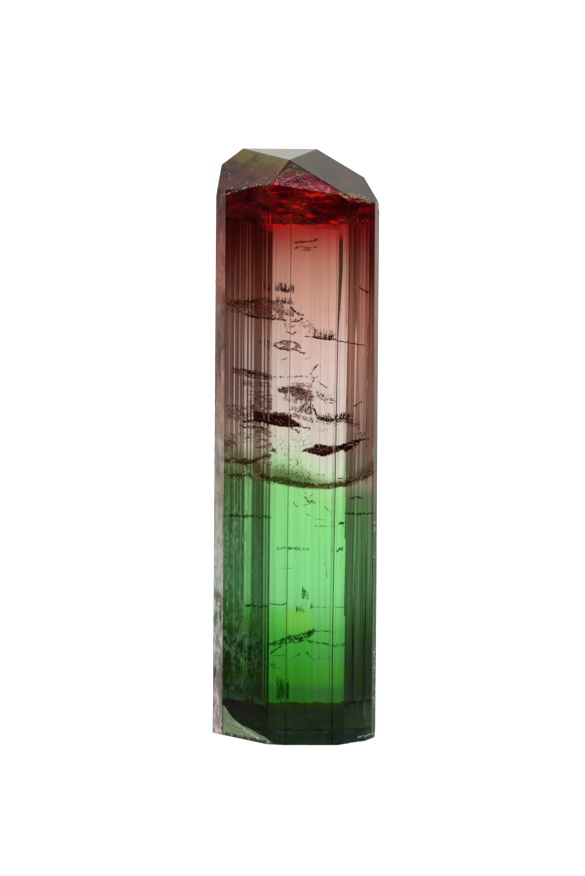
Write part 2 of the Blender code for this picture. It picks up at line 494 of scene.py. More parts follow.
# ---------------------------------------------------------------- materials
class Nodes:
    """Short calls for building a node tree."""

    def __init__(self, tree):
        self.t = tree
        self.x = -1800

    def new(self, kind, **props):
        n = self.t.nodes.new(kind)
        n.location = (self.x, 0)
        self.x += 40
        for k, v in props.items():
            setattr(n, k, v)
        return n

    def link(self, a, b):
        self.t.links.new(a, b)

    def feed(self, sock, value):
        if hasattr(value, "is_output") or isinstance(value, bpy.types.NodeSocket):
            self.link(value, sock)
        elif value is not None:
            sock.default_value = value

    def math(self, op, a, b=None, c=None, clamp=False):
        n = self.new("ShaderNodeMath", operation=op, use_clamp=clamp)
        for i, v in enumerate((a, b, c)):
            if v is not None:
                self.feed(n.inputs[i], v)
        return n.outputs[0]

    def mix(self, fac, a, b, blend="MIX"):
        n = self.new("ShaderNodeMix", data_type="RGBA", blend_type=blend)
        n.clamp_factor = True
        self.feed(n.inputs["Factor"], fac)
        for sock, v in ((n.inputs["A"], a), (n.inputs["B"], b)):
            pass
        a_in = [s for s in n.inputs if s.name == "A" and s.type == "RGBA"][0]
        b_in = [s for s in n.inputs if s.name == "B" and s.type == "RGBA"][0]
        self.feed(a_in, a)
        self.feed(b_in, b)
        return [s for s in n.outputs if s.type == "RGBA"][0]

    def range(self, v, a, b, lo=0.0, hi=1.0, smooth_step=False):
        n = self.new("ShaderNodeMapRange")
        n.clamp = True
        if smooth_step:
            n.interpolation_type = "SMOOTHSTEP"
        self.feed(n.inputs["Value"], v)
        n.inputs["From Min"].default_value = a
        n.inputs["From Max"].default_value = b
        n.inputs["To Min"].default_value = lo
        n.inputs["To Max"].default_value = hi
        return n.outputs[0]

    def noise(self, vec, scale, detail=3.0, rough=0.5, distortion=0.0):
        n = self.new("ShaderNodeTexNoise")
        if vec is not None:
            self.link(vec, n.inputs["Vector"])
        n.inputs["Scale"].default_value = scale
        n.inputs["Detail"].default_value = detail
        n.inputs["Roughness"].default_value = rough
        n.inputs["Distortion"].default_value = distortion
        return n.outputs["Fac"]

    def ramp(self, fac, stops, interp="LINEAR"):
        n = self.new("ShaderNodeValToRGB")
        n.color_ramp.interpolation = interp
        els = n.color_ramp.elements
        els[0].position, els[0].color = stops[0][0], (*stops[0][1], 1.0)
        els[1].position, els[1].color = stops[-1][0], (*stops[-1][1], 1.0)
        for p, c in stops[1:-1]:
            e = els.new(p)
            e.color = (*c, 1.0)
        self.feed(n.inputs["Fac"], fac)
        return n.outputs["Color"]

    def scaled(self, vec, s):
        n = self.new("ShaderNodeVectorMath", operation="MULTIPLY")
        self.link(vec, n.inputs[0])
        n.inputs[1].default_value = s
        return n.outputs[0]


def fresh(name):
    m = bpy.data.materials.new(name)
    m.use_nodes = True
    m.node_tree.nodes.clear()
    k = Nodes(m.node_tree)
    out = k.new("ShaderNodeOutputMaterial")
    return m, k, out


# colour zones along the crystal: height in mm on the axis, light let through
ZONES = [
    (0.0, (0.030, 0.145, 0.082)), (2.2, (0.027, 0.122, 0.068)),
    (3.9, (0.024, 0.100, 0.075)),
    (4.7, (0.042, 0.260, 0.006)),
    (6.3, (0.052, 0.320, 0.014)),
    (7.8, (0.066, 0.400, 0.078)),
    (10.4, (0.085, 0.480, 0.060)),
    (13.2, (0.210, 0.730, 0.220)),
    (15.6, (0.272, 0.870, 0.310)),
    (21.7, (0.300, 0.910, 0.300)),
    (25.4, (0.345, 0.885, 0.290)),
    (27.6, (0.620, 0.860, 0.520)),
    (29.5, (0.820, 0.850, 0.720)),
    (32.0, (0.830, 0.720, 0.645)),
    (38.0, (0.870, 0.700, 0.645)),
    (42.0, (0.830, 0.560, 0.500)),
    (46.5, (0.730, 0.390, 0.300)),
    (50.0, (0.580, 0.235, 0.160)),
    (52.0, (0.490, 0.070, 0.052)),
    (53.4, (0.440, 0.022, 0.018)),
    (54.4, (0.380, 0.006, 0.006)),
    (61.4, (0.400, 0.006, 0.006)),
]


def crystal_material():
    m, k, out = fresh("tourmaline_clear")
    geo = k.new("ShaderNodeTexCoord")
    obj = geo.outputs["Object"]
    sep = k.new("ShaderNodeSeparateXYZ")
    k.link(obj, sep.inputs[0])
    x, y, z = sep.outputs
    # height bent a little, so that the zone boundaries are not level
    wob = k.noise(k.scaled(obj, (60.0, 60.0, 25.0)), 1.0, 2.0)
    zmm = k.math("MULTIPLY", z, 1000.0)
    zmm = k.math("ADD", zmm, k.math("MULTIPLY", k.math("SUBTRACT", wob, 0.5), 2.2))
    streak = k.noise(k.scaled(obj, (2600.0, 2600.0, 16.0)), 1.0, 2.0)
    zmm = k.math("ADD", zmm, k.math("MULTIPLY", k.math("SUBTRACT", streak, 0.5), 0.8))
    # the pink and green meet on a slant, greener to the left
    xmm = k.math("MULTIPLY", x, 1000.0)
    slant = k.math("MULTIPLY", k.range(z, 0.024, 0.028, 0.0, 1.0, True), k.range(z, 0.036, 0.031, 0.0, 1.0, True))
    zmm = k.math("ADD", zmm, k.math("MULTIPLY", slant, k.range(xmm, 0.2, 3.4, -1.7, 1.0)))
    fac = k.math("DIVIDE", zmm, 61.4, clamp=True)
    colour = k.ramp(fac, [(h / 61.4, c) for h, c in ZONES])
    fine = k.noise(k.scaled(obj, (3400.0, 3400.0, 7.0)), 1.0, 4.0, 0.7)
    colour = k.mix(1.0, colour, k.ramp(fine, [(0.36, (0.70, 0.72, 0.70)), (0.58, (1.0, 1.0, 1.0))]), "MULTIPLY")
    facing = k.range(y, -0.0010, -0.0030, 0.0, 1.0)
    # deeper green to the left of a growth boundary near the foot, with a yellow-green cloud
    wisp = k.noise(k.scaled(obj, (500.0, 500.0, 260.0)), 1.0, 3.0, 0.6)
    low = k.math("ADD", xmm, k.math("MULTIPLY", k.math("SUBTRACT", wisp, 0.5), 1.2))
    low = k.range(low, 1.9, 1.4, 0.0, 1.0)
    low = k.math("MULTIPLY", low, k.range(zmm, 14.9, 14.2, 0.0, 1.0))
    low = k.math("MULTIPLY", low, k.range(zmm, 4.0, 4.8, 0.0, 1.0))
    colour = k.mix(k.math("MULTIPLY", low, facing), colour, k.mix(1.0, colour, (0.50, 0.90, 0.34, 1.0), "MULTIPLY"))
    cx = k.math("DIVIDE", k.math("SUBTRACT", xmm, 0.25), 1.7)
    cz = k.math("DIVIDE", k.math("SUBTRACT", zmm, 13.4), 1.5)
    far = k.math("ADD", k.math("MULTIPLY", cx, cx), k.math("MULTIPLY", cz, cz))
    far = k.math("ADD", far, k.math("MULTIPLY", k.math("SUBTRACT", wisp, 0.5), 1.6))
    colour = k.mix(k.math("MULTIPLY", k.range(far, 1.4, 0.0, 0.0, 0.78), facing), colour, (0.34, 0.80, 0.05, 1.0))
    colour = k.mix(k.math("MULTIPLY", k.range(z, 0.00155, 0.00125, 0.0, 1.0), k.range(y, -0.0050, -0.0060, 0.0, 1.0)), colour,
                   k.mix(1.0, colour, (0.80, 0.40, 1.0, 1.0), "MULTIPLY"))
    # olive brown seam along the boundary, sharp below and fading upward
    dx = k.math("SUBTRACT", xmm, 2.8)
    dx2 = k.math("MULTIPLY", dx, dx)
    bend = k.math("MULTIPLY", dx2, k.range(dx, -0.1, 0.1, 0.0276, 0.062))
    seam = k.math("SUBTRACT", k.math("SUBTRACT", k.math("MULTIPLY", z, 1000.0), bend), 27.05)
    seam = k.math("ADD", seam, k.math("MULTIPLY", k.math("SUBTRACT", wisp, 0.5), 0.5))
    seam = k.math("DIVIDE", seam, k.range(xmm, 0.0, 3.7, 2.9, 1.45))
    band = k.math("MULTIPLY", k.range(seam, -0.06, 0.10, 0.0, 1.0), k.range(seam, 0.36, 0.95, 1.0, 0.0, True))
    colour = k.mix(k.math("MULTIPLY", band, k.math("MULTIPLY", facing, 0.85)), colour, k.mix(k.math("MULTIPLY", k.range(seam, 0.30, 0.55, 1.0, 0.0, True), k.range(xmm, 2.6, 0.8, 0.2, 1.0)),
                         (0.20, 0.155, 0.035, 1.0), (0.100, 0.084, 0.014, 1.0)))
    low_seam = k.math("MULTIPLY", k.range(seam, -0.06, 0.10, 0.0, 1.0), k.range(seam, 0.42, 0.64, 1.0, 0.0, True))
    low_seam = k.math("MULTIPLY", k.math("MULTIPLY", low_seam, facing), k.math("MULTIPLY", k.range(xmm, 3.0, 1.4, 0.35, 1.0), k.range(xmm, -2.9, -2.0, 0.0, 1.0)))
    colour = k.mix(low_seam, colour, k.mix(1.0, colour, (0.34, 0.42, 0.28, 1.0), "MULTIPLY"))
    # painted shade on the risers of the striated sides, its tint set by height: green over pink reads brown
    mark = k.new("ShaderNodeVertexColor", layer_name="painted_shade_marks")
    msep = k.new("ShaderNodeSeparateColor")
    k.link(mark.outputs["Color"], msep.inputs[0])
    painted_side_shade, grey, etched = msep.outputs
    left_painted_shade = k.ramp(fac, [(0.0, (1.0, 1.0, 1.0)), (0.065, (0.60, 0.20, 0.50)), (0.085, (0.20, 0.020, 0.10)), (0.12, (0.045, 0.006, 0.020)),
                             (0.16, (0.022, 0.0025, 0.020)), (0.20, (0.040, 0.030, 0.030)), (0.26, (0.030, 0.044, 0.034)),
                             (0.40, (0.060, 0.048, 0.036)), (0.435, (0.12, 0.048, 0.032)), (0.458, (0.45, 0.170, 0.130)), (0.49, (0.33, 0.145, 0.120)),
                             (0.53, (0.25, 0.130, 0.095)), (0.59, (0.120, 0.044, 0.036)), (0.63, (0.100, 0.038, 0.028)), (0.67, (0.115, 0.050, 0.034)), (0.70, (0.132, 0.050, 0.028)),
                             (0.735, (0.135, 0.032, 0.013)), (0.78, (0.065, 0.009, 0.003)), (0.84, (0.034, 0.0015, 0.001)), (0.875, (0.020, 0.0008, 0.0008)),
                             (1.0, (0.02, 0.002, 0.002))])
    right_painted_shade = k.ramp(fac, [(0.0, (1.0, 1.0, 1.0)), (0.065, (0.72, 0.20, 0.85)), (0.085, (0.37, 0.045, 0.5)), (0.12, (0.17, 0.020, 0.22)),
                              (0.16, (0.140, 0.022, 0.16)), (0.20, (0.070, 0.040, 0.048)), (0.36, (0.105, 0.064, 0.066)),
                              (0.43, (0.16, 0.078, 0.105)), (0.456, (0.46, 0.165, 0.230)), (0.48, (0.100, 0.046, 0.030)), (0.53, (0.18, 0.062, 0.042)),
                              (0.60, (0.40, 0.155, 0.105)), (0.68, (0.48, 0.17, 0.100)), (0.75, (0.42, 0.13, 0.090)),
                              (0.80, (0.22, 0.060, 0.045)),
                              (0.86, (0.14, 0.016, 0.03)), (1.0, (0.2, 0.03, 0.03))])
    # near the right edge the painted shade is scaled by a second ramp of its own, set by height
    rim = k.ramp(fac, [(0.0, (0.80, 0.65, 0.70)), (0.13, (0.72, 0.40, 0.56)), (0.20, (0.74, 0.46, 0.66)), (0.235, (0.52, 0.36, 0.48)), (0.27, (0.66, 0.46, 0.62)),
                       (0.36, (0.85, 0.50, 0.85)), (0.45, (0.75, 0.50, 0.80)), (0.475, (0.92, 0.68, 1.10)), (0.50, (0.50, 0.34, 0.42)),
                       (0.58, (0.22, 0.19, 0.19)), (0.64, (0.18, 0.12, 0.085)), (0.70, (0.18, 0.10, 0.065)),
                       (0.746, (0.20, 0.070, 0.024)), (0.79, (0.13, 0.020, 0.010)), (0.84, (0.11, 0.005, 0.004)),
                       (0.873, (0.18, 0.05, 0.05)), (1.0, (0.25, 0.20, 0.20))])
    rim = k.mix(1.0, rim, (4.0, 4.0, 4.0, 1.0), "MULTIPLY")
    right_painted_shade = k.mix(k.range(xmm, 7.25, 7.65, 0.0, 1.0), right_painted_shade, k.mix(1.0, right_painted_shade, rim, "MULTIPLY"))
    # vertical streaks in the painted shade on the right side
    reed = k.noise(k.scaled(obj, (3600.0, 3600.0, 5.0)), 1.0, 3.0, 0.72, 0.3)
    reed = k.ramp(reed, [(0.38, (0.34, 0.30, 0.28)), (0.50, (0.90, 0.90, 0.90)), (0.62, (1.0, 1.0, 1.0))])
    reed = k.mix(k.range(xmm, 5.0, 7.4, 0.65, 1.0), (1.0, 1.0, 1.0, 1.0), reed)
    right_painted_shade = k.mix(1.0, right_painted_shade, reed, "MULTIPLY")
    # at the right foot the risers are painted lighter than the crystal's own colour
    foot_right = k.math("MULTIPLY", k.range(xmm, 4.6, 5.8, 0.0, 1.0), k.range(z, 0.0042, 0.0034, 0.0, 1.0))
    right_painted_shade = k.mix(foot_right, right_painted_shade, k.mix(k.range(xmm, 7.0, 7.5), (2.2, 2.7, 2.6, 1.0), (6.5, 5.0, 4.9, 1.0)))
    painted_shade_marks = k.mix(k.range(x, -0.001, 0.001), left_painted_shade, right_painted_shade)
    colour = k.mix(painted_side_shade, colour, k.mix(1.0, colour, painted_shade_marks, "MULTIPLY"))
    # painted shade along the grooves: two dark lines run down the front face, the right one broad near the top
    along = k.math("SUBTRACT", xmm, k.math("ADD", SHIFT.x, k.math("MULTIPLY", z, 1000.0 * tan(radians(LEAN)))))
    path = k.math("ADD", k.range(z, 0.043, 0.050, 40.8 * PX, 43.4 * PX), k.range(z, 0.042, 0.012, 0.0, -2.5 * PX))
    wide = k.range(z, 0.0425, 0.0500, 0.052, 0.20)
    off = k.math("ABSOLUTE", k.math("SUBTRACT", along, path))
    line = k.range(k.math("SUBTRACT", off, wide), 0.035, -0.015, 0.0, 1.0)
    line = k.math("MULTIPLY", line, k.range(z, 0.0548, 0.0532, 0.0, 1.0))
    colour = k.mix(k.math("MULTIPLY", line, k.range(y, -0.0076, -0.0077, 0.0, 1.0)), colour,
                   k.mix(1.0, colour, (0.020, 0.020, 0.010, 1.0), "MULTIPLY"))
    path = k.math("ADD", -6.3 * PX, k.range(z, 0.050, 0.006, 0.0, -1.4 * PX, True))
    off = k.math("ABSOLUTE", k.math("SUBTRACT", along, path))
    line = k.range(off, 0.075, 0.030, 0.0, 1.0)
    colour = k.mix(k.math("MULTIPLY", line, k.range(y, -0.0076, -0.0077, 0.0, 0.9)), colour,
                   k.mix(1.0, colour, (0.30, 0.22, 0.20, 1.0), "MULTIPLY"))
    # the deep red head of the crystal: dark clouds, with a few patches painted bright red as glints
    cloud = k.noise(k.scaled(obj, (300.0, 300.0, 760.0)), 1.0, 2.6, 0.55, 0.6)
    red = k.ramp(cloud, [(0.37, (0.038, 0.00001, 0.00001)), (0.45, (0.23, 0.00002, 0.00130)), (0.51, (0.74, 0.00006, 0.00180)),
                         (0.61, (1.0, 0.0010, 0.0006)), (0.68, (1.0, 0.05, 0.010))])
    redleft = k.mix(1.0, red, (0.40, 0.6, 0.6, 1.0), "MULTIPLY")
    red = k.mix(k.range(x, -0.0045, -0.0020), redleft, red)
    # painted highlight: a patch of bright red glints about 56 mm up
    gx = k.math("DIVIDE", k.math("SUBTRACT", xmm, 0.1), 2.5)
    gz = k.math("DIVIDE", k.math("SUBTRACT", k.math("MULTIPLY", z, 1000.0), 56.1), 1.25)
    painted_red_glints = k.math("SUBTRACT", 1.0, k.math("ADD", k.math("MULTIPLY", gx, gx), k.math("MULTIPLY", gz, gz)))
    painted_red_glints = k.math("ADD", painted_red_glints, k.math("MULTIPLY", k.math("SUBTRACT", cloud, 0.5), 5.0))
    red = k.mix(k.range(painted_red_glints, 0.30, 1.10, 0.0, 0.8), red, (1.0, 0.0035, 0.0012, 1.0))
    rag = k.noise(k.scaled(obj, (520.0, 520.0, 120.0)), 1.0, 3.0, 0.6)
    head = k.math("SUBTRACT", k.math("MULTIPLY", z, 1000.0), k.math("MULTIPLY", rag, 2.6))
    head = k.math("SUBTRACT", head, k.range(y, -0.003, 0.003, 0.0, 3.0))
    head = k.math("SUBTRACT", head, k.range(k.math("ABSOLUTE", k.math("SUBTRACT", xmm, 0.5)), 3.5, 4.2, 0.0, 0.75))
    head = k.range(head, 52.45, 53.80, 0.0, 1.0, True)
    colour = k.mix(head, colour, red)
    # the narrow facet of the right edge is dull and grey
    colour = k.mix(k.math("MULTIPLY", grey, 0.9), colour, k.ramp(fac, [(0.33, (0.20, 0.25, 0.19)), (0.46, (0.42, 0.37, 0.33)), (0.55, (0.44, 0.37, 0.33)), (0.62, (0.54, 0.46, 0.41)),
                                                                   (0.72, (0.66, 0.57, 0.48)), (0.84, (0.82, 0.70, 0.58)), (0.92, (0.86, 0.76, 0.66))]))
    # worn and broken places scatter light: paler, matte, less clear
    wear = k.new("ShaderNodeVertexColor", layer_name="wear")
    wsep = k.new("ShaderNodeSeparateColor")
    k.link(wear.outputs["Color"], wsep.inputs[0])
    broken, bruise, top = wsep.outputs
    # the shell shaped chip at the lower left: pale green and matte below a curved edge
    edge = k.ramp(k.range(xmm, -8.0, -2.0), [(0.0, (0.90, 0.90, 0.90)), (0.10, (0.79, 0.79, 0.79)), (0.255, (0.53, 0.53, 0.53)),
                                             (0.40, (0.385, 0.385, 0.385)), (0.567, (0.305, 0.305, 0.305)),
                                             (0.79, (0.215, 0.215, 0.215)), (0.90, (0.10, 0.10, 0.10)), (1.0, (0.0, 0.0, 0.0))])
    edge = k.math("MULTIPLY", edge, 4.1)
    edge = k.math("ADD", edge, k.math("MULTIPLY", k.math("SUBTRACT", wisp, 0.5), 0.45))
    under = k.math("SUBTRACT", edge, k.math("MULTIPLY", z, 1000.0))
    chip = k.math("MULTIPLY", k.range(under, -0.04, 0.06, 0.0, 1.0), k.range(y, -0.0005, -0.0015, 0.0, 1.0))
    chip = k.math("MULTIPLY", chip, k.range(xmm, -7.75, -7.45, 0.0, 1.0))
    broken = k.math("MAXIMUM", broken, chip)
    n1 = k.noise(k.scaled(obj, (900.0, 900.0, 700.0)), 1.0, 4.0, 0.6)
    n2 = k.noise(k.scaled(obj, (420.0, 420.0, 130.0)), 1.0, 3.0, 0.6)
    bruise_col = k.ramp(fac, [(0.0, (0.85, 0.48, 0.45)), (0.08, (0.80, 0.50, 0.46)), (0.15, (0.90, 0.78, 0.74)),
                              (0.20, (0.35, 0.33, 0.27)), (0.34, (0.85, 0.84, 0.68)), (0.45, (1.00, 0.68, 0.55)), (0.50, (0.72, 0.41, 0.32)),
                              (0.55, (0.60, 0.32, 0.25)), (0.60, (0.90, 0.36, 0.24)), (0.72, (0.92, 0.24, 0.135)), (0.85, (0.60, 0.13, 0.10)), (0.90, (0.26, 0.025, 0.035)),
                              (1.0, (0.34, 0.22, 0.19))])
    bruise_col = k.mix(k.math("MULTIPLY", k.range(n1, 0.52, 0.70, 0.0, 0.7), k.range(zmm, 53.0, 48.0, 0.12, 1.0)), bruise_col, (0.85, 0.74, 0.68, 1.0))
    bruise_col = k.mix(k.range(n2, 0.52, 0.40, 0.0, 0.75), bruise_col, (0.10, 0.05, 0.035, 1.0))
    n3 = k.noise(k.scaled(obj, (1900.0, 1900.0, 800.0)), 1.0, 4.0, 0.72)
    n4 = k.noise(k.scaled(obj, (1300.0, 1300.0, 560.0)), 1.0, 4.0, 0.72, 0.4)
    patchy = k.math("MULTIPLY", k.range(n2, 0.40, 0.55, 0.45, 1.0), k.range(zmm, 16.0, 26.0, 1.0, 0.22))
    patchy = k.math("MULTIPLY", patchy, k.range(zmm, 53.0, 48.0, 0.3, 1.0))
    long_n = k.noise(k.scaled(obj, (3000.0, 3000.0, 160.0)), 1.0, 3.0, 0.65, 0.2)
    bruise_col = k.mix(1.0, bruise_col, k.ramp(long_n, [(0.36, (0.45, 0.36, 0.32)), (0.50, (0.95, 0.95, 0.95)), (0.62, (1.0, 1.0, 1.0))]), "MULTIPLY")
    bruise_col = k.mix(k.math("MULTIPLY", k.range(n3, 0.51, 0.57, 0.0, 1.0), patchy), bruise_col, (1.0, 0.97, 0.92, 1.0))
    bruise_col = k.mix(k.math("MULTIPLY", k.range(n4, 0.53, 0.58, 0.0, 0.95), patchy), bruise_col, (0.035, 0.030, 0.018, 1.0))
    # paler, more crushed lengths of the edge
    tall = k.math("MULTIPLY", z, 1000.0)
    crushed = k.ramp(k.range(tall, 0.0, 32.0), [(0.0, (0.35,) * 3), (0.10, (0.45,) * 3), (0.15, (0.22,) * 3), (0.17, (0.0,) * 3), (0.23, (0.0,) * 3),
                                               (0.28, (0.85,) * 3), (0.33, (0.85,) * 3), (0.365, (0.0,) * 3), (0.46, (0.05,) * 3), (0.49, (0.85,) * 3),
                                               (0.55, (0.75,) * 3), (0.63, (0.55,) * 3), (0.70, (0.10,) * 3), (0.85, (0.05,) * 3), (0.90, (0.40,) * 3),
                                               (0.97, (0.40,) * 3), (1.0, (0.08,) * 3)])
    crushed = k.math("MULTIPLY", crushed, k.range(n3, 0.42, 0.50, 0.40, 1.0))
    bruise_col = k.mix(k.math("MULTIPLY", crushed, 0.85), bruise_col, k.mix(k.range(zmm, 12.0, 16.0), (1.0, 0.90, 0.87, 1.0), (0.98, 1.0, 0.92, 1.0)))
    shadow = k.math("MULTIPLY", k.range(tall, 4.3, 6.0, 0.0, 1.0, True), k.range(tall, 8.2, 6.2, 0.0, 1.0, True))
    bruise_col = k.mix(k.math("MULTIPLY", shadow, 0.60), bruise_col, (0.10, 0.09, 0.08, 1.0))
    colour = k.mix(k.math("MULTIPLY", bruise, 0.92), colour, bruise_col)
    broken_col = k.ramp(fac, [(0.0, (0.42, 0.66, 0.30)), (0.06, (0.40, 0.60, 0.28)), (0.85, (0.30, 0.08, 0.10)),
                              (0.93, (0.40, 0.05, 0.09)), (0.97, (0.34, 0.10, 0.12)), (1.0, (0.42, 0.40, 0.22))])
    broken_col = k.mix(k.range(z, 0.0003, 0.0005), (0.10, 0.12, 0.10, 1.0), broken_col)
    # the broken ridge: dark purple and magenta, with painted olive and white glints
    glint = k.noise(k.scaled(obj, (1500.0, 1500.0, 1500.0)), 1.0, 3.0, 0.7)
    lump = k.noise(k.scaled(obj, (620.0, 620.0, 900.0)), 1.0, 3.0, 0.6, 0.3)
    rise = k.math("SUBTRACT", k.math("MULTIPLY", z, 1000.0), 58.6)
    rise = k.math("SUBTRACT", rise, k.range(xmm, 2.6, 8.2, 0.0, -1.6))
    high = k.range(k.math("ADD", rise, k.math("MULTIPLY", k.math("SUBTRACT", lump, 0.5), 2.4)), 0.8, 1.6, 0.0, 1.0)
    low_ridge = k.ramp(lump, [(0.40, (0.035, 0.006, 0.020)), (0.46, (0.16, 0.010, 0.045)), (0.52, (0.46, 0.014, 0.070)), (0.60, (0.74, 0.036, 0.135))])
    low_ridge = k.mix(k.range(glint, 0.60, 0.66, 0.0, 0.8), low_ridge, (0.85, 0.72, 0.66, 1.0))
    low_ridge = k.mix(k.range(glint, 0.44, 0.38, 0.0, 0.8), low_ridge, (0.03, 0.008, 0.016, 1.0))
    high_ridge = k.ramp(glint, [(0.36, (0.045, 0.030, 0.020)), (0.50, (0.13, 0.095, 0.050)), (0.58, (0.26, 0.23, 0.075)), (0.68, (0.62, 0.58, 0.40))])
    ridge_col = k.mix(high, low_ridge, high_ridge)
    # painted highlight: yellow glints towards the right end of the ridge
    ridge_col = k.mix(k.range(xmm, 3.6, 5.2, 0.0, 0.8), ridge_col, k.ramp(glint, [(0.40, (0.10, 0.04, 0.02)), (0.50, (0.42, 0.34, 0.05)), (0.62, (0.90, 0.84, 0.36))]))
    broken_col = k.mix(k.range(zmm, 30.0, 31.0), broken_col, ridge_col)
    lowcol = k.mix(k.math("MULTIPLY", k.range(n3, 0.52, 0.60, 0.0, 0.8), k.range(zmm, 8.0, 6.0)), broken_col, (0.70, 0.80, 0.60, 1.0))
    broken_col = k.mix(k.math("MULTIPLY", k.range(n4, 0.56, 0.62, 0.0, 0.75), k.range(zmm, 8.0, 6.0)), lowcol, (0.10, 0.22, 0.07, 1.0))
    colour = k.mix(k.math("MULTIPLY", broken, 0.85), colour, broken_col)
    # termination faces: olive brown skin
    spots = k.noise(k.scaled(obj, (420.0, 420.0, 420.0)), 1.0, 4.0, 0.65)
    level = k.math("ADD", k.math("MULTIPLY", z, 1000.0), k.math("MULTIPLY", k.math("SUBTRACT", spots, 0.5), 1.6))
    top_col = k.ramp(k.range(level, 57.0, 61.6), [(0.0, (0.115, 0.042, 0.046)), (0.45, (0.130, 0.052, 0.042)),
                                                 (0.66, (0.160, 0.090, 0.040)), (0.80, (0.26, 0.22, 0.035)),
                                                 (0.93, (0.33, 0.30, 0.045))])
    top_col = k.mix(k.range(spots, 0.60, 0.70, 0.0, 0.75), top_col, (0.42, 0.24, 0.12, 1.0))
    blot = k.noise(k.scaled(obj, (620.0, 420.0, 780.0)), 1.0, 5.0, 0.68, 1.1)
    top_col = k.mix(k.range(blot, 0.47, 0.38, 0.0, 0.75), top_col, (0.045, 0.020, 0.018, 1.0))
    top_col = k.mix(k.range(blot, 0.56, 0.64, 0.0, 0.6), top_col, (0.30, 0.19, 0.10, 1.0))
    specks = k.noise(k.scaled(obj, (2600.0, 2600.0, 2600.0)), 1.0, 2.0, 0.6)
    top_col = k.mix(k.range(specks, 0.68, 0.74, 0.0, 0.9), top_col, (0.85, 0.80, 0.70, 1.0))
    top_right = k.mix(k.range(spots, 0.35, 0.65), (0.15, 0.110, 0.085, 1.0), (0.23, 0.19, 0.12, 1.0))
    top_right = k.mix(k.range(blot, 0.46, 0.38, 0.0, 0.45), top_right, (0.09, 0.065, 0.050, 1.0))
    top_col = k.mix(k.range(etched, 0.58, 0.52), top_col, top_right)
    cap = k.mix(k.range(spots, 0.35, 0.65), (0.17, 0.18, 0.09, 1.0), (0.30, 0.31, 0.17, 1.0))
    top_col = k.mix(k.range(z, 0.06110, 0.06125), top_col, cap)
    colour = k.mix(k.math("MULTIPLY", top, 0.95), colour, top_col)

    # a thin scuffed film on the left walls, in specks and short smears
    smear = k.noise(k.scaled(obj, (1700.0, 1700.0, 1250.0)), 1.0, 4.0, 0.74, 0.5)
    broad = k.noise(k.scaled(obj, (260.0, 260.0, 120.0)), 1.0, 2.0, 0.6)
    film = k.math("ADD", smear, k.math("MULTIPLY", k.math("SUBTRACT", broad, 0.5), 0.35))
    film = k.range(film, 0.52, 0.66, 0.0, 1.0)
    film = k.math("MULTIPLY", film, k.range(xmm, -3.8, -6.0, 0.10, 1.0))
    film = k.math("MULTIPLY", film, k.range(xmm, 3.0, -2.6, 0.0, 1.0))
    film = k.math("MULTIPLY", film, k.range(zmm, 32.0, 22.0, 0.10, 1.0))
    film = k.math("MULTIPLY", film, k.range(zmm, 3.6, 5.0, 0.0, 1.0))
    film = k.math("MULTIPLY", film, k.range(zmm, 50.0, 46.0, 0.0, 1.0))
    film = k.math("MULTIPLY", film, k.range(zmm, 7.0, 16.0, 0.22, 1.0))
    film = k.math("MULTIPLY", film, k.math("MULTIPLY", facing, k.math("SUBTRACT", 1.0, bruise, clamp=True)))
    film_col = k.mix(k.range(zmm, 24.0, 31.0), (0.13, 0.21, 0.14, 1.0), (0.22, 0.15, 0.12, 1.0))
    film_col = k.mix(k.range(n3, 0.55, 0.64, 0.0, 0.8), film_col, (0.62, 0.68, 0.58, 1.0))
    colour = k.mix(k.math("MULTIPLY", film, 0.9), colour, film_col)

    rough = k.math("ADD", 0.012, k.math("MULTIPLY", broken, 0.42))
    rough = k.math("ADD", rough, k.math("MULTIPLY", film, 0.30))
    rough = k.math("ADD", rough, k.math("MULTIPLY", bruise, k.range(n1, 0.3, 0.7, 0.30, 0.60)))
    trans = k.math("SUBTRACT", 1.0, k.math("MULTIPLY", bruise, k.range(n1, 0.35, 0.62, 0.55, 0.92)))
    trans = k.math("SUBTRACT", trans, k.math("MULTIPLY", k.math("MULTIPLY", bruise, crushed), 0.30))
    trans = k.math("SUBTRACT", trans, k.math("MULTIPLY", broken, k.range(zmm, 4.0, 10.0, 0.55, 0.16)))
    trans = k.math("SUBTRACT", trans, k.math("MULTIPLY", grey, 0.62))
    trans = k.math("SUBTRACT", trans, k.math("MULTIPLY", etched, 0.85))
    trans = k.math("SUBTRACT", trans, k.math("MULTIPLY", film, 0.55), clamp=True)

    # fine striae down the prism faces, and the grain of the broken ones
    stria = k.noise(k.scaled(obj, (5200.0, 5200.0, 9.0)), 1.0, 3.0, 0.6)
    grain = k.noise(k.scaled(obj, (2600.0, 2600.0, 2600.0)), 1.0, 4.0, 0.7)
    wall = k.math("SUBTRACT", 1.0, k.math("MAXIMUM", top, broken), clamp=True)
    height = k.math("ADD", k.math("MULTIPLY", k.math("MULTIPLY", stria, wall), 0.5),
                    k.math("MULTIPLY", k.math("MULTIPLY", grain, k.math("MAXIMUM", broken, bruise)), 1.0))
    bump = k.new("ShaderNodeBump")
    bump.inputs["Strength"].default_value = 0.25
    bump.inputs["Distance"].default_value = 0.00006
    k.link(height, bump.inputs["Height"])

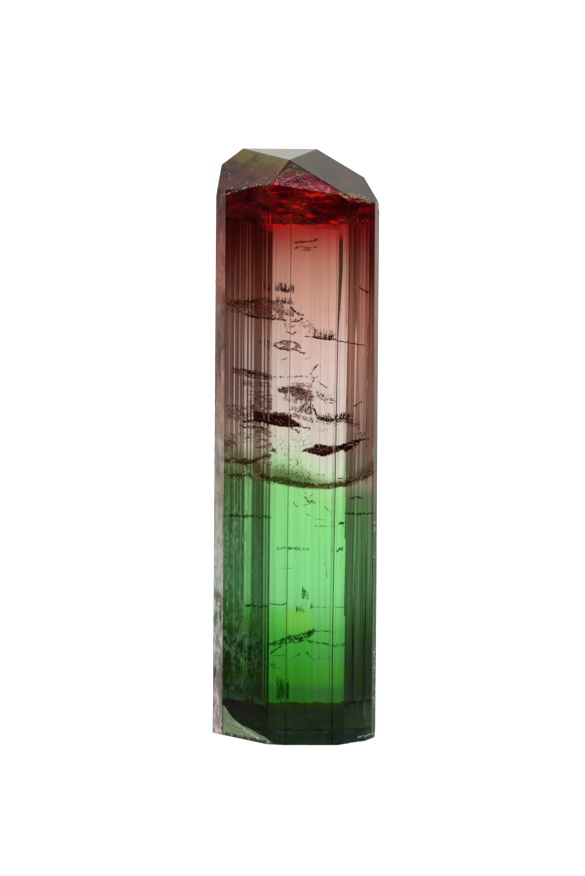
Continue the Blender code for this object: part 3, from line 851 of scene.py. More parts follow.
    p = k.new("ShaderNodeBsdfPrincipled")
    p.distribution = "MULTI_GGX"
    p.inputs["IOR"].default_value = IOR
    p.inputs["Specular IOR Level"].default_value = 0.5
    k.link(colour, p.inputs["Base Color"])
    k.link(rough, p.inputs["Roughness"])
    k.link(trans, p.inputs["Transmission Weight"])
    k.link(bump.outputs[0], p.inputs["Normal"])
    k.link(p.outputs[0], out.inputs["Surface"])
    vol = k.new("ShaderNodeVolumeAbsorption")
    vol.inputs["Color"].default_value = (0.52, 0.42, 0.34, 1.0)
    vol.inputs["Density"].default_value = 14.0
    k.link(vol.outputs[0], out.inputs["Volume"])
    return m


# ---------------------------------------------------------------- the piece
shell = make_shell()
for v in shell.data.vertices:
    for i in range(3):
        v.co[i] = min(CAD_HI[i], max(CAD_LO[i], v.co[i]))
shell.data.materials.append(crystal_material())
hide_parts("crystal")
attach(shell, "root")


# --------------------------------------------------------------- inclusions
# Healed fractures, dark needles and veils sealed in the crystal, with pale and gold flecks painted as glints on and
# just under its surface. The fractures are real, but their dark look is painted shade in dark flakes. Each is laid out
# by where it shows from the front (px of the frame) and how deep it lies.
tree = BVHTree.FromPolygons([v.co.copy() for v in shell.data.vertices],
                            [tuple(p.vertices) for p in shell.data.polygons])
FRONT_Y = CAD_LO[1]


def into(px, py, depth, flat=True):
    """Point inside the crystal, depth mm behind its surface, that shows at (px, py)."""
    d = VIEW_AT + Vector((1, 0, 0)) * ((px - 292.5) * PX * MM) + VIEW_UP * ((438.0 - py) * PX * MM) - VIEW_FROM
    d.normalize()
    hit = None
    if not flat:
        hit = tree.ray_cast(VIEW_FROM, d)[0]
        if hit is None:
            return None
        return hit + d * (depth * MM)
    hit = VIEW_FROM + d * ((FRONT_Y - VIEW_FROM.y) / d.y)
    r = Vector((d.x / IOR, 0.0, d.z / IOR))
    r.y = sqrt(1.0 - r.x * r.x - r.z * r.z)
    return hit + r * (depth * MM / r.y)


def inside(point):
    for d in (Vector((0, 1, 0)), Vector((0, -1, 0)), Vector((1, 0, 0.1)), Vector((-1, 0, 0.1))):
        if tree.ray_cast(point, d)[0] is None:
            return False
    return True


class Flakes:
    """Thin ragged scales, each a closed solid."""

    def __init__(self, seed):
        self.bm = bmesh.new()
        self.rng = random.Random(seed)
        self.loose = False

    def scale(self, centre, u, v, a, b, thick=0.012):
        r = self.rng
        n = r.randint(5, 8)
        w = u.cross(v).normalized() * (thick * MM * 0.5)
        pts = []
        for i in range(n):
            t = 2 * pi * (i + r.uniform(-0.32, 0.32)) / n
            k = r.uniform(0.55, 1.08)
            pts.append(u * (a * MM * k * cos(t)) + v * (b * MM * k * sin(t)))
        top = [self.bm.verts.new(centre + p + w) for p in pts]
        low = [self.bm.verts.new(centre + p - w) for p in pts]
        self.bm.faces.new(top)
        self.bm.faces.new(low[::-1])
        for i in range(n):
            j = (i + 1) % n
            self.bm.faces.new((top[j], top[i], low[i], low[j]))

    def place(self, px, py, depth, a, b, turn=0.0, tip=25.0, flat=True):
        """One scale: half length a and half height b in px, turned in the picture."""
        c = into(px, py, depth, flat)
        if c is None or not (self.loose or inside(c)):
            return
        t = radians(turn)
        u = Vector((cos(t), 0.0, sin(t)))
        up = Vector((-sin(t), 0.0, cos(t)))
        k = radians(tip)
        v = (up * sin(k) + Vector((0, 1, 0)) * cos(k))
        self.scale(c, u, v, a * PX, b * PX / max(0.2, sin(k + 0.11)))

    def line(self, path, count, size=1.3, high=0.45, spread=0.5, depth=(1.0, 3.0), flat=True, tip=(20, 60), swing=18):
        """Scales strung along a path."""
        r = self.rng
        lens = [sqrt((b[0] - a[0]) ** 2 + (b[1] - a[1]) ** 2) for a, b in zip(path, path[1:])]
        for _ in range(count):
            d = r.uniform(0, sum(lens))
            for (a, b), l in zip(zip(path, path[1:]), lens):
                if d <= l:
                    break
                d -= l
            t = min(1.0, d / l)
            turn = -degrees(atan2(b[1] - a[1], b[0] - a[0]))
            self.place(a[0] + (b[0] - a[0]) * t + r.gauss(0, 0.3), a[1] + (b[1] - a[1]) * t + r.gauss(0, spread),
                       r.uniform(*depth), size * r.uniform(0.5, 1.5), high * r.uniform(0.5, 1.5),
                       turn + r.gauss(0, swing), r.uniform(*tip), flat)

    def patch(self, top, low, pitch=1.0, cover=0.9, size=1.0, depth=(5.0, 1.5), flat=True, grain=0.25, seed=0.0, full=0.8):
        """A ragged sheet between an upper and a lower edge, the upper one deeper."""
        r = self.rng

        def at(edge, x):
            for a, b in zip(edge, edge[1:]):
                if a[0] <= x <= b[0]:
                    return a[1] + (b[1] - a[1]) * (x - a[0]) / (b[0] - a[0])
            return None
        x = top[0][0]
        while x < top[-1][0]:
            y0, y1 = at(top, x), at(low, x)
            if y0 is not None and y1 is not None:
                y0 += 1.3 * fnoise(x * 0.45, 0, 0, 3 + seed)
                y1 += 0.7 * fnoise(x * 0.6, 0, 0, 8 + seed)
                y = y0
                while y < y1:
                    if fnoise(x * grain, y * grain * 1.6, 0, 5 + seed) * 0.9 + 0.5 < cover:
                        t = (y - y0) / max(0.01, y1 - y0)
                        self.place(x + r.uniform(-0.4, 0.4) * pitch, y + r.uniform(-0.4, 0.4) * pitch,
                                   depth[0] + (depth[1] - depth[0]) * t + r.uniform(-0.1, 0.1),
                                   size * full * r.uniform(0.5, 1.5), size * full * 0.5 * r.uniform(0.5, 1.5),
                                   r.gauss(0, 24), r.uniform(15, 60), flat)
                    y += pitch * 0.5
            x += pitch * 0.8

    def spikes(self, x0, x1, base, rise, count, wide=0.35, depth=(1.5, 4.0), flat=True, lean=6.0):
        """Upright needles standing on a line."""
        r = self.rng
        for _ in range(count):
            x = r.uniform(x0, x1)
            t = (x - x0) / (x1 - x0)
            y = base[0] + (base[1] - base[0]) * t
            h = rise * r.uniform(0.25, 1.0)
            self.place(x, y - h, r.uniform(*depth), h, wide * r.uniform(0.5, 1.4), 90 + r.gauss(0, lean), 40, flat)

    def piece(self, name, material):
        mesh = bpy.data.meshes.new(name)
        bmesh.ops.triangulate(self.bm, faces=[f for f in self.bm.faces if len(f.verts) > 4])
        self.bm.to_mesh(mesh)
        self.bm.free()
        for v in mesh.vertices:
            for i in range(3):
                v.co[i] = min(CAD_HI[i], max(CAD_LO[i], v.co[i]))
        mesh.materials.append(material)
        ob = bpy.data.objects.new(name, mesh)
        bpy.context.scene.collection.objects.link(ob)
        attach(ob, "root")
        return ob


def inclusion_material(name, dark, light, scale, rough=0.8, painted_glow=0.5, gloss=0.04, alpha=1.0):
    m, k, out = fresh(name)
    co = k.new("ShaderNodeTexCoord").outputs["Object"]
    n = k.noise(k.scaled(co, (scale, scale, scale)), 1.0, 3.0, 0.6)
    p = k.new("ShaderNodeBsdfPrincipled")
    shade = k.ramp(n, [(0.35, dark), (0.68, light)])
    k.link(shade, p.inputs["Base Color"])
    # painted glow: the scales emit their own colour, standing in for the light that thin scales pass from behind
    k.link(shade, p.inputs["Emission Color"])
    p.inputs["Emission Strength"].default_value = painted_glow
    p.inputs["Roughness"].default_value = rough
    p.inputs["Alpha"].default_value = alpha
    p.inputs["Specular IOR Level"].default_value = gloss
    k.link(p.outputs[0], out.inputs["Surface"])
    return m


maroon = Flakes(101)      # near black, red brown
rust = Flakes(102)        # paler red brown, veils
olive = Flakes(103)       # the olive boundary band and its crumbs
green = Flakes(104)       # dark green and black in the green half
# pale flecks are painted glints: small highlights on and just under the surface
painted_pale_glints = Flakes(105)        # white and yellow glints
# gold flecks are painted glints on the broken ridge
painted_gold_glints = Flakes(107)

# red and brown part
maroon.line([(294, 242.6), (300, 242.2), (306, 241.4), (312, 241.2), (317.5, 239.5)], 60, 1.2, 0.4, 0.35, (1.5, 2.5))
maroon.line([(295, 248.3), (299, 247.2), (305, 247.0), (311, 248.6), (317, 246.2)], 44, 0.9, 0.35, 0.5, (1.5, 2.5))
maroon.line([(304, 249.8), (311, 250.5)], 14, 0.9, 0.5, 0.4, (1.5, 2.5))
maroon.spikes(275, 294, (292, 294), 6.5, 64, 0.32, (2.0, 4.5))
maroon.spikes(276, 293, (303, 306), 5.0, 34, 0.3, (2.0, 4.5))
rust.spikes(276, 294, (314, 318), 6.0, 50, 0.4, (2.0, 4.0))
maroon.line([(224, 302), (240, 302.5), (256, 300.5)], 60, 1.1, 0.35, 1.2, (0.25, 0.5), False)
rust.line([(224, 302.5), (240, 303), (257, 301.5)], 130, 1.3, 0.6, 2.0, (0.25, 0.5), False)
rust.line([(224, 307), (240, 305.5), (256, 306.5)], 70, 1.3, 0.5, 1.8, (0.25, 0.5), False)
rust.patch([(258, 299), (270, 299.5), (284, 301)], [(258, 315.5), (270, 318), (284, 319.5)], 1.05, 0.70, 1.1, (6, 2), grain=0.5)
rust.patch([(232, 300), (258, 300)], [(232, 312), (258, 316)], 1.0, 0.56, 1.1, (0.5, 0.3), False, grain=0.5)
maroon.line([(246, 314.6), (252, 316.3), (259, 317.3)], 70, 1.4, 0.5, 0.45, (0.25, 0.5), False)
maroon.line([(259, 317.3), (272, 319.2), (286, 320.3)], 80, 1.4, 0.4, 0.4, (1.6, 2.0))
maroon.line([(290, 306.5), (294, 311), (300, 314.8), (303, 315.2)], 46, 1.2, 0.55, 0.7, (2, 4))
maroon.line([(291, 321.5), (298, 321.0), (303, 317.8)], 30, 1.2, 0.5, 0.6, (2, 4))
rust.line([(300, 318), (308, 322), (316, 330)], 44, 0.9, 0.5, 1.8, (2, 5))
maroon.line([(286, 331), (292, 334.5), (297, 331)], 26, 1.0, 0.4, 0.6, (2, 4))
maroon.line([(305, 336.2), (314, 337.2)], 20, 1.3, 0.3, 0.2, (1.2, 1.6))
maroon.line([(314, 337.2), (322, 339), (335, 339.6), (340, 341.4), (345, 342.4)], 90, 1.4, 0.4, 0.4, (1.2, 1.8))
maroon.spikes(314, 334, (338.5, 339.5), 3.6, 70, 0.35, (1.2, 2.5))
rust.spikes(313, 336, (334, 337), 4.0, 44, 0.35, (2.0, 3.5))
maroon.line([(344, 342.0), (352, 343.3), (359, 344.4), (364, 345.0)], 60, 1.3, 0.3, 0.2, (0.2, 0.4), False)
maroon.line([(358, 287), (363, 289.4), (368, 293)], 40, 1.2, 0.4, 0.3, (0.2, 0.4), False)
rust.patch([(273.5, 344.6), (281, 341), (290, 340.6), (297, 342.5), (301.5, 347)],
           [(273.5, 345.6), (280, 349.2), (290, 350.4), (297, 350.4), (301.5, 348)], 0.85, 0.74, 0.9, (5, 2.5))
maroon.line([(273, 345), (280, 348.8), (288, 350.2), (296, 350)], 44, 1.2, 0.4, 0.4, (2.4, 2.6))
maroon.line([(275, 343.6), (283, 341.2), (292, 341.2), (299, 344.4)], 30, 1.2, 0.3, 0.3, (4.6, 5.0))
maroon.line([(297, 350.5), (301, 352.5), (305, 353.2)], 24, 1.0, 0.5, 0.6, (2.4, 3.0))
# painted highlights: vertical lines of paler flakes along the prism edges in the red head
for x, y0, y1 in ((274.6, 187, 238), (290.4, 206, 246), (315.4, 190, 204), (346.4, 203, 262), (369.4, 199, 226)):
    y = y0
    while y < y1:
        rust.place(x + rust.rng.gauss(0, 0.08), y, 0.12, 1.5, 0.16, 90, 25, False)
        y += rust.rng.uniform(1.6, 2.6)
maroon.line([(281, 360.5), (288, 357.8)], 12, 1.0, 0.25, 0.3, (2.4, 3.0))
maroon.line([(302, 360), (311, 357.5)], 10, 0.9, 0.2, 0.3, (2.4, 3.0))

# grey pink part: veils and the lens shaped fracture
rust.patch([(250, 390), (272, 391)], [(250, 408), (272, 410)], 1.0, 0.54, 1.0, (0.9, 0.3), False, grain=0.33, seed=14.0)
rust.patch([(257, 429), (272, 430)], [(257, 448), (272, 448)], 1.0, 0.50, 1.0, (0.9, 0.3), False, grain=0.3, seed=17.0)
olive.patch([(257, 446), (272, 446)], [(257, 466), (272, 468)], 1.0, 0.34, 0.7, (0.9, 0.3), False, grain=0.3, seed=19.0)
rust.spikes(290, 312, (411, 416), 4.5, 70, 0.42, (3.0, 5.0), True, 34)
rust.spikes(293, 313, (418, 424), 4.5, 60, 0.42, (3.0, 5.0), True, 34)
rust.line([(317, 420), (325, 421.6), (334, 421.8), (344, 420.4)], 80, 1.2, 0.6, 1.5, (2.4, 3.6), swing=30)
rust.line([(290, 320), (300, 322), (312, 331), (318, 335)], 60, 0.9, 0.5, 2.4, (2, 5), swing=40)
rust.line([(284, 325), (296, 327)], 26, 0.9, 0.5, 1.4, (2, 5), swing=40)
rust.patch([(234, 368), (250, 369), (272, 374)], [(234, 373), (250, 378), (272, 380)], 1.0, 0.66, 1.15, (0.6, 0.3), False, grain=0.6, seed=2.0)
maroon.line([(234, 369), (246, 371), (258, 374), (266, 376)], 60, 1.5, 0.5, 1.0, (0.25, 0.5), False)
rust.patch([(244, 380), (272, 383)], [(244, 386), (272, 388)], 1.0, 0.52, 1.0, (0.6, 0.3), False, grain=0.6, seed=4.0)
maroon.line([(272, 376.5), (285, 377), (300, 376.2), (315, 377.5)], 50, 1.0, 0.28, 0.5, (3, 5))
maroon.line([(310.5, 374), (313, 370), (315.5, 367), (317.5, 364.6)], 26, 1.0, 0.45, 0.5, (2, 2.6))
maroon.line([(317.5, 376), (312, 382.5)], 14, 1.0, 0.35, 0.3, (2, 2.6))
maroon.line([(318, 381.8), (322, 384.5), (326.5, 388)], 26, 1.1, 0.3, 0.2, (2, 2.2))
maroon.patch([(278, 386.5), (288, 387.5)], [(278, 392), (288, 394)], 0.85, 0.82, 0.9, (4, 2.5), seed=1.0)
for y, x0, x1 in ((389, 286, 303), (391.5, 288, 311), (394, 289, 313), (397, 291, 314), (400.5, 296, 314)):
    rust.spikes(x0, x1, (y, y + 1.5), 3.4, 46, 0.42, (3.0, 5.0), True, 32)
    maroon.spikes(x0, x1, (y, y + 1.5), 2.4, 22, 0.28, (3.0, 5.0), True, 32)
rust.patch([(289, 387), (300, 388), (313, 392)], [(289, 393.5), (300, 397), (313, 401)], 1.0, 0.62, 1.1, (5, 2.5), grain=0.6, seed=6.0)
maroon.line([(289, 389), (298, 391), (306, 394.5), (313, 397)], 90, 0.9, 0.45, 1.9, (3, 5), swing=40)
rust.patch([(292, 382), (312, 384)], [(292, 386), (312, 388)], 0.9, 0.60, 0.9, (5, 3.5), grain=0.6, seed=7.0)
maroon.line([(316, 395.5), (325, 397), (334, 401)], 34, 1.1, 0.35, 1.6, (3, 5))
rust.line([(316, 393), (325, 399), (336, 402)], 60, 1.2, 0.45, 2.2, (3, 5))
rust.spikes(284, 312, (402, 408), 7.0, 60, 0.3, (2.5, 5.0), True, 22)
maroon.spikes(302, 311, (408, 410), 4.0, 24, 0.3, (3, 4), True, 25)
rust.spikes(301, 312, (411, 414), 5.0, 40, 0.4, (3, 4), True, 25)
maroon.patch([(257, 419), (264, 417), (274, 415.4), (283, 415.8), (291, 419), (300, 425)],
             [(257, 420.5), (268, 423.6), (280, 426.0), (290, 427.0), (300, 426.4)], 0.75, 0.88, 1.0, (6, 2.2), full=1.0, grain=0.5)
rust.patch([(257, 417.5), (264, 414.6), (274, 412.6), (283, 413.6), (291, 417.5), (300, 424.5)],
           [(257, 420.5), (268, 423.6), (280, 426.0), (290, 427.0), (300, 426.4)], 0.92, 1.2, 1.0, (7.0, 3.2), full=1.2)
# painted highlights: a few pale flecks in the lens shaped fracture
painted_pale_glints.line([(262, 418), (272, 417), (282, 420)], 10, 0.5, 0.25, 2.0, (1.6, 2.0), swing=60)
maroon.spikes(262, 292, (415, 418), 3.5, 60, 0.35, (4.0, 5.5), True, 16)
maroon.line([(296, 424.5), (302, 426.5), (310, 428.6)], 34, 1.2, 0.45, 0.6, (2.5, 3.2))
maroon.line([(244, 421.4), (252, 420.4), (260, 420.0)], 60, 1.5, 0.4, 0.6, (0.25, 0.45), False)
maroon.line([(240, 425.8), (250, 426.6), (258, 427.4), (268, 428.4)], 80, 1.5, 0.45, 0.7, (0.25, 0.45), False)
maroon.line([(258, 412), (264, 414.5), (272, 418)], 50, 1.2, 0.6, 1.8, (0.3, 0.6), False)
rust.patch([(228, 404), (258, 406)], [(228, 419), (258, 424)], 1.1, 0.56, 1.1, (0.6, 0.3), False, grain=0.5, seed=11.0)
maroon.line([(313, 407), (315.5, 412), (317, 417)], 44, 1.0, 0.7, 0.9, (2.2, 3.0))
maroon.line([(317, 417.5), (325, 419.6), (334, 419.8), (344, 418.4)], 130, 1.3, 0.6, 1.0, (2.2, 3.0))
maroon.spikes(318, 344, (419, 418), 3.6, 70, 0.3, (2.2, 3.5))
rust.line([(346, 420), (352, 423), (359, 425)], 70, 1.4, 0.7, 2.0, (0.25, 0.5), False)
maroon.line([(352, 407.5), (357, 404), (362, 400.8)], 30, 1.1, 0.3, 0.3, (0.2, 0.4), False)
rust.line([(318, 431), (330, 429), (338, 421)], 30, 0.9, 0.25, 0.6, (3, 5))
maroon.line([(291, 428), (297, 431), (300, 434)], 22, 0.8, 0.6, 1.0, (3, 5))

# the big fracture above the green part: a real fracture whose darkness is painted shade in dark flakes, with pale
# flecks as painted highlights
maroon.patch([(303, 450), (309, 449.8), (314, 448), (316, 443.0), (320, 444.6), (331, 447.6), (343, 445.4),
              (352, 441.8), (361, 438.4)],
             [(303, 450.8), (309, 451.8), (314, 454), (320, 456.2), (326, 455.2), (332, 452.4), (343, 449), (352, 444), (361, 439.8)],
             0.75, 0.74, 1.0, (5, 2.0), full=1.0, grain=0.45)
rust.patch([(303, 449.5), (308, 448), (313, 447.6), (316, 443.4), (320, 445.5), (332, 446.6), (343, 445)],
           [(303, 450.6), (309, 453.2), (318, 455), (324, 456.2), (333, 453.5), (343, 449.5)], 0.92, 1.2, 1.0, (6.0, 3.0), full=1.3)
rust.line([(310, 450.5), (318, 450), (326, 448.8), (336, 447.6)], 80, 1.1, 0.4, 1.9, (1.2, 1.8))
painted_pale_glints.line([(316, 451), (326, 449.5)], 9, 0.6, 0.2, 0.8, (1.3, 1.6))
maroon.line([(343, 445.2), (352, 442), (361, 438.8)], 90, 1.4, 0.5, 0.5, (0.2, 0.4), False)
maroon.line([(345, 451), (352, 446.5), (358, 443.6)], 50, 1.3, 0.35, 0.4, (0.2, 0.4), False)
rust.line([(350, 436), (362, 433), (370, 430)], 40, 1.3, 0.5, 1.6, (0.25, 0.4), False)

# olive boundary between pink and green
olive.line([(222, 459), (234, 461), (246, 461.5), (256, 460)], 200, 1.8, 0.8, 1.5, (0.25, 0.6), False)
olive.line([(256, 460), (263, 457), (270, 455)], 70, 1.5, 0.7, 0.9, (0.25, 0.6), False)
olive.line([(272, 449), (276, 451.5)], 30, 1.0, 0.8, 1.2, (1.5, 3.0))
# a fracture along the boundary: its olive colour is a painted reflection of the green below
olive.line([(222, 474), (238, 476), (252, 474.5)], 90, 1.6, 0.7, 2.2, (0.3, 0.6), False)
olive.line([(252, 474), (262, 477), (272, 480)], 110, 1.7, 0.8, 1.6, (0.5, 1.5))
olive.patch([(272, 476.5), (285, 478.5), (298, 481.5), (315, 483.8), (330, 483.6), (345, 480.8)],
            [(272, 481.5), (285, 485), (298, 487.4), (315, 488.8), (330, 488.4), (345, 486)], 0.95, 0.92, 1.0, (4, 2.4))
olive.line([(345, 483), (356, 479.5), (370, 473), (375, 470)], 150, 1.6, 0.8, 1.6, (0.25, 0.5), False)
olive.line([(276, 465), (290, 470), (300, 478), (310, 481)], 150, 0.8, 0.4, 4.2, (3, 6), swing=50)
olive.line([(288, 432), (300, 440), (312, 446)], 70, 0.55, 0.4, 5.0, (3, 7), swing=70)
olive.line([(274, 436), (284, 446), (292, 462)], 70, 0.55, 0.4, 5.5, (3, 7), swing=70)
olive.line([(296, 462), (304, 470), (312, 474)], 90, 0.6, 0.35, 3.6, (3, 6), swing=60)
olive.line([(314, 474.5), (324, 475), (336, 474.5)], 20, 1.0, 0.25, 1.2, (3, 5))
olive.line([(338, 478.5), (345, 478.2)], 22, 1.0, 0.35, 0.4, (3, 5))
# painted highlights: pale flecks in the olive band
painted_pale_glints.line([(273, 476), (281, 477), (292, 477.2)], 34, 1.4, 0.35, 0.4, (0.6, 1.2))
rust.line([(224, 441), (231, 443), (238, 442)], 80, 0.8, 1.3, 2.4, (0.25, 0.5), False)
rust.line([(228, 433), (245, 436), (262, 432)], 60, 1.6, 0.6, 3.0, (0.25, 0.6), False)

# green part
green.line([(293, 502), (297, 507)], 12, 1.0, 0.35, 0.3, (2, 3))
green.line([(303, 496), (309, 501), (315, 504)], 22, 1.2, 0.35, 1.2, (2, 4))
green.line([(304, 505), (310, 504)], 10, 1.0, 0.25, 0.3, (2, 4))
green.line([(324, 506), (331, 513)], 14, 1.0, 0.3, 0.8, (2, 4))
green.line([(306, 514), (310, 516.5)], 8, 1.0, 0.3, 0.3, (2, 4))
green.patch([(302, 492), (313, 494)], [(302, 500), (313, 503)], 1.6, 0.30, 0.7, (5, 3), seed=3.0)
green.line([(314, 519), (326, 519.5)], 12, 1.2, 0.15, 0.2, (3, 4))
green.line([(315, 526), (335, 526.3)], 24, 1.3, 0.18, 0.2, (3, 4))
green.spikes(277, 309, (550.5, 551), 2.6, 34, 0.35, (2, 4), True, 3)
green.line([(278, 549), (284, 548)], 6, 0.9, 0.5, 0.6, (2, 4))
green.line([(288, 548.5), (300, 548)], 12, 0.8, 0.4, 1.0, (2, 4))
green.line([(339, 524), (341.5, 523)], 14, 0.9, 0.9, 0.4, (0.8, 1.6))
green.line([(336.5, 552), (341, 547)], 16, 0.9, 0.7, 0.4, (0.8, 1.6))
green.line([(325.8, 564), (326.4, 577)], 16, 1.6, 0.28, 0.3, (1.5, 2.5))
green.line([(282, 568), (292, 568.6)], 10, 1.2, 0.14, 0.2, (2, 3))
green.spikes(300, 309, (600, 600), 7.0, 20, 0.2, (1.5, 3.5), True, 8)
# painted highlights: pale needles beside the green ones
painted_pale_glints.spikes(301, 308, (606, 606), 7.0, 7, 0.16, (1.0, 1.4), True, 6)
green.line([(302, 588), (305, 594)], 20, 1.0, 0.6, 1.6, (1.5, 3.5))
green.spikes(296, 304, (612, 614), 5.0, 18, 0.25, (1.5, 3.5), True, 8)
green.line([(222, 516), (240, 515.5), (258, 516.2), (270, 516.4)], 120, 1.8, 0.5, 0.8, (0.25, 0.5), False)
green.line([(245, 605), (262, 606), (270, 605.6)], 70, 1.5, 0.4, 0.6, (0.25, 0.5), False)
green.line([(271, 603.8), (280, 604.6), (287, 604.0)], 26, 1.5, 0.3, 0.3, (1.5, 2.0))
green.line([(310, 607), (330, 607.5), (341, 607)], 26, 1.6, 0.16, 0.3, (2.0, 3.0))
green.line([(311, 608), (312, 604)], 10, 1.0, 0.7, 0.3, (1.5, 2.0))
green.patch([(269, 643.5), (280, 640), (290, 635.5), (298, 634.5), (308, 630.5), (314, 629.5)],
            [(269, 647), (280, 645), (290, 643), (298, 643), (308, 639), (314, 634)], 0.8, 0.60, 0.9, (4, 2.2), grain=0.6)
green.line([(308, 636), (310, 632), (314, 630.6)], 40, 1.2, 0.9, 0.8, (2, 3))
green.line([(314, 631.5), (322, 631), (334, 632)], 26, 1.4, 0.2, 0.4, (2, 3))
green.line([(308, 641), (320, 643.5), (330, 645), (340, 645)], 60, 1.4, 0.35, 0.8, (2, 4))
green.line([(270, 654), (275, 650), (281, 646.4)], 34, 1.3, 0.4, 0.4, (2, 3))
green.line([(275, 656), (286, 655)], 20, 1.4, 0.25, 0.3, (2, 3))
green.line([(289, 661), (296, 656), (302, 652.5)], 20, 1.2, 0.22, 0.5, (2, 4))
green.line([(306, 651), (310, 657), (315, 661)], 18, 1.1, 0.3, 0.6, (2, 4))
green.line([(318, 658), (328, 657), (336, 661)], 22, 1.2, 0.2, 1.2, (2, 4))
green.line([(270, 664), (275, 666.5)], 14, 1.1, 0.35, 0.8, (2, 4))
green.line([(272, 668), (282, 668.2)], 12, 1.4, 0.18, 0.2, (2, 3))
green.spikes(277, 289, (700, 701), 14.0, 60, 0.35, (1.5, 3.5), True, 7)
green.line([(279, 690), (281, 700)], 24, 1.6, 0.5, 0.8, (1.5, 3.0))
green.line([(350, 498), (356, 496.8), (361, 498)], 30, 1.3, 0.45, 0.5, (0.2, 0.4), False)
green.line([(344, 513), (358, 514), (374, 512.6)], 60, 1.6, 0.5, 0.6, (0.2, 0.4), False)
# painted highlights: a short line of pale flecks
painted_pale_glints.line([(265, 622), (269, 624)], 12, 0.6, 0.5, 1.2, (0.15, 0.3), False)
# painted glints: pale flecks scattered just under the surface on the left and right sides
for _ in range(190):
    r = painted_pale_glints.rng
    painted_pale_glints.place(r.gauss(236, 8), r.uniform(505, 655), r.uniform(0.10, 0.3), r.uniform(0.3, 1.3), r.uniform(0.12, 0.28),
               r.gauss(0, 50), 40, False)
for _ in range(60):
    painted_pale_glints.place(r.uniform(225, 268), r.uniform(230, 480), r.uniform(0.10, 0.3), r.uniform(0.2, 0.7),
               r.uniform(0.12, 0.3), r.gauss(0, 60), 40, False)
for _ in range(60):
    painted_pale_glints.place(r.uniform(346, 373), r.uniform(500, 720), r.uniform(0.10, 0.3), r.uniform(0.2, 0.8),
               r.uniform(0.10, 0.22), r.gauss(0, 60), 40, False)

# painted glints on the surface along the right edge and the foot
painted_pale_glints.loose = True
for _ in range(46):
    y = r.choice((528, 560, 652, 668, 690, 700)) + r.gauss(0, 4)
    painted_pale_glints.place(r.gauss(374.2, 0.7), y, r.uniform(-0.03, 0.02), r.uniform(0.5, 1.3), r.uniform(0.3, 0.7), r.uniform(50, 130), 40, False)
for _ in range(34):
    t = r.random()
    painted_pale_glints.place(358 + 15 * t, 737.6 - 4.2 * t + r.gauss(0, 0.5), r.uniform(-0.03, 0.02), r.uniform(0.5, 1.4), r.uniform(0.2, 0.4), 14 + r.gauss(0, 12), 40, False)
for _ in range(150):
    t = r.random()
    painted_pale_glints.place(225 + 34 * t ** 0.8, 719 + 20 * t + r.gauss(0, 0.8), r.uniform(-0.03, 0.02), r.uniform(0.3, 1.1), r.uniform(0.15, 0.4), -28 + r.gauss(0, 25), 40, False)
painted_pale_glints.loose = False

magenta = Flakes(106)     # bright crumbs on the broken ridge
# crumbs on the broken ridge: magenta ones, and gold and pale ones that are painted glints
r = magenta.rng
for _ in range(420):
    x = r.triangular(262, 376, 320)
    low = 184 + (x - 261) * 0.045 if x < 322 else 188.5 + (x - 322) * 0.27
    high = 163 + abs(x - 289) * 0.62
    y = r.uniform(max(high, low - 14), low + 1.0) if x < 350 else r.gauss(low - 1.0, 1.4)
    pick = r.random()
    if 340 < x < 358:
        kind = painted_gold_glints if pick < 0.75 else painted_pale_glints
    elif x < 285:
        kind = painted_pale_glints if pick < 0.45 else magenta
    elif x < 340:
        kind = magenta if pick < (0.88 if y > 175 else 0.45) and y > 171 else (painted_pale_glints if pick < 0.80 else painted_gold_glints)
    else:
        kind = painted_pale_glints if pick < 0.5 else painted_gold_glints
    if kind is magenta and r.random() < 0.35:
        continue
    kind.loose = True
    big = 1.5 if kind is magenta else 1.0
    kind.place(x, y, r.uniform(-0.02, 0.02), big * r.uniform(0.25, 1.0), big * r.uniform(0.2, 0.6), r.uniform(-60, 60), r.uniform(30, 80), False)
    kind.loose = False
# painted glints along the edges of the termination
for x0, y0, x1, y1, n in ((219, 196, 241, 189.5, 34), (241, 189.5, 262, 184, 34), (356, 201, 378, 203, 30)):
    for _ in range(n):
        t = r.random()
        painted_pale_glints.loose = True
        painted_pale_glints.place(x0 + (x1 - x0) * t, y0 + (y1 - y0) * t + r.gauss(0, 0.5), r.uniform(-0.02, 0.02), r.uniform(0.2, 0.7),
                   r.uniform(0.15, 0.4), r.uniform(-60, 60), 50, False)
        painted_pale_glints.loose = False
magenta.piece("crumbs_magenta", inclusion_material("crumb_magenta", (0.24, 0.003, 0.045), (0.78, 0.022, 0.16), 1800.0, 0.25, 0.32, 0.5))
painted_gold_glints.piece("glints_gold_painted", inclusion_material("glint_gold_painted", (0.45, 0.34, 0.04), (0.95, 0.85, 0.30), 1800.0, 0.25, 0.25, 0.5))
maroon.piece("inclusions_maroon", inclusion_material("inclusion_maroon", (0.012, 0.001, 0.001), (0.085, 0.016, 0.013), 1500.0, 0.8, 0.35))
rust.piece("inclusions_rust", inclusion_material("inclusion_rust", (0.12, 0.034, 0.026), (0.32, 0.13, 0.10), 900.0, alpha=0.42))
olive.piece("inclusions_olive", inclusion_material("inclusion_olive", (0.08, 0.060, 0.012), (0.30, 0.24, 0.08), 1100.0, alpha=0.8))
green.piece("inclusions_green", inclusion_material("inclusion_green", (0.010, 0.055, 0.013), (0.06, 0.27, 0.06), 1300.0))
# the pale flecks, painted glints, built as one object
painted_pale_glints.piece("glints_pale_painted", inclusion_material("glint_pale_painted", (0.45, 0.50, 0.38), (0.90, 0.90, 0.80), 900.0, 0.35, 0.25, 0.5))


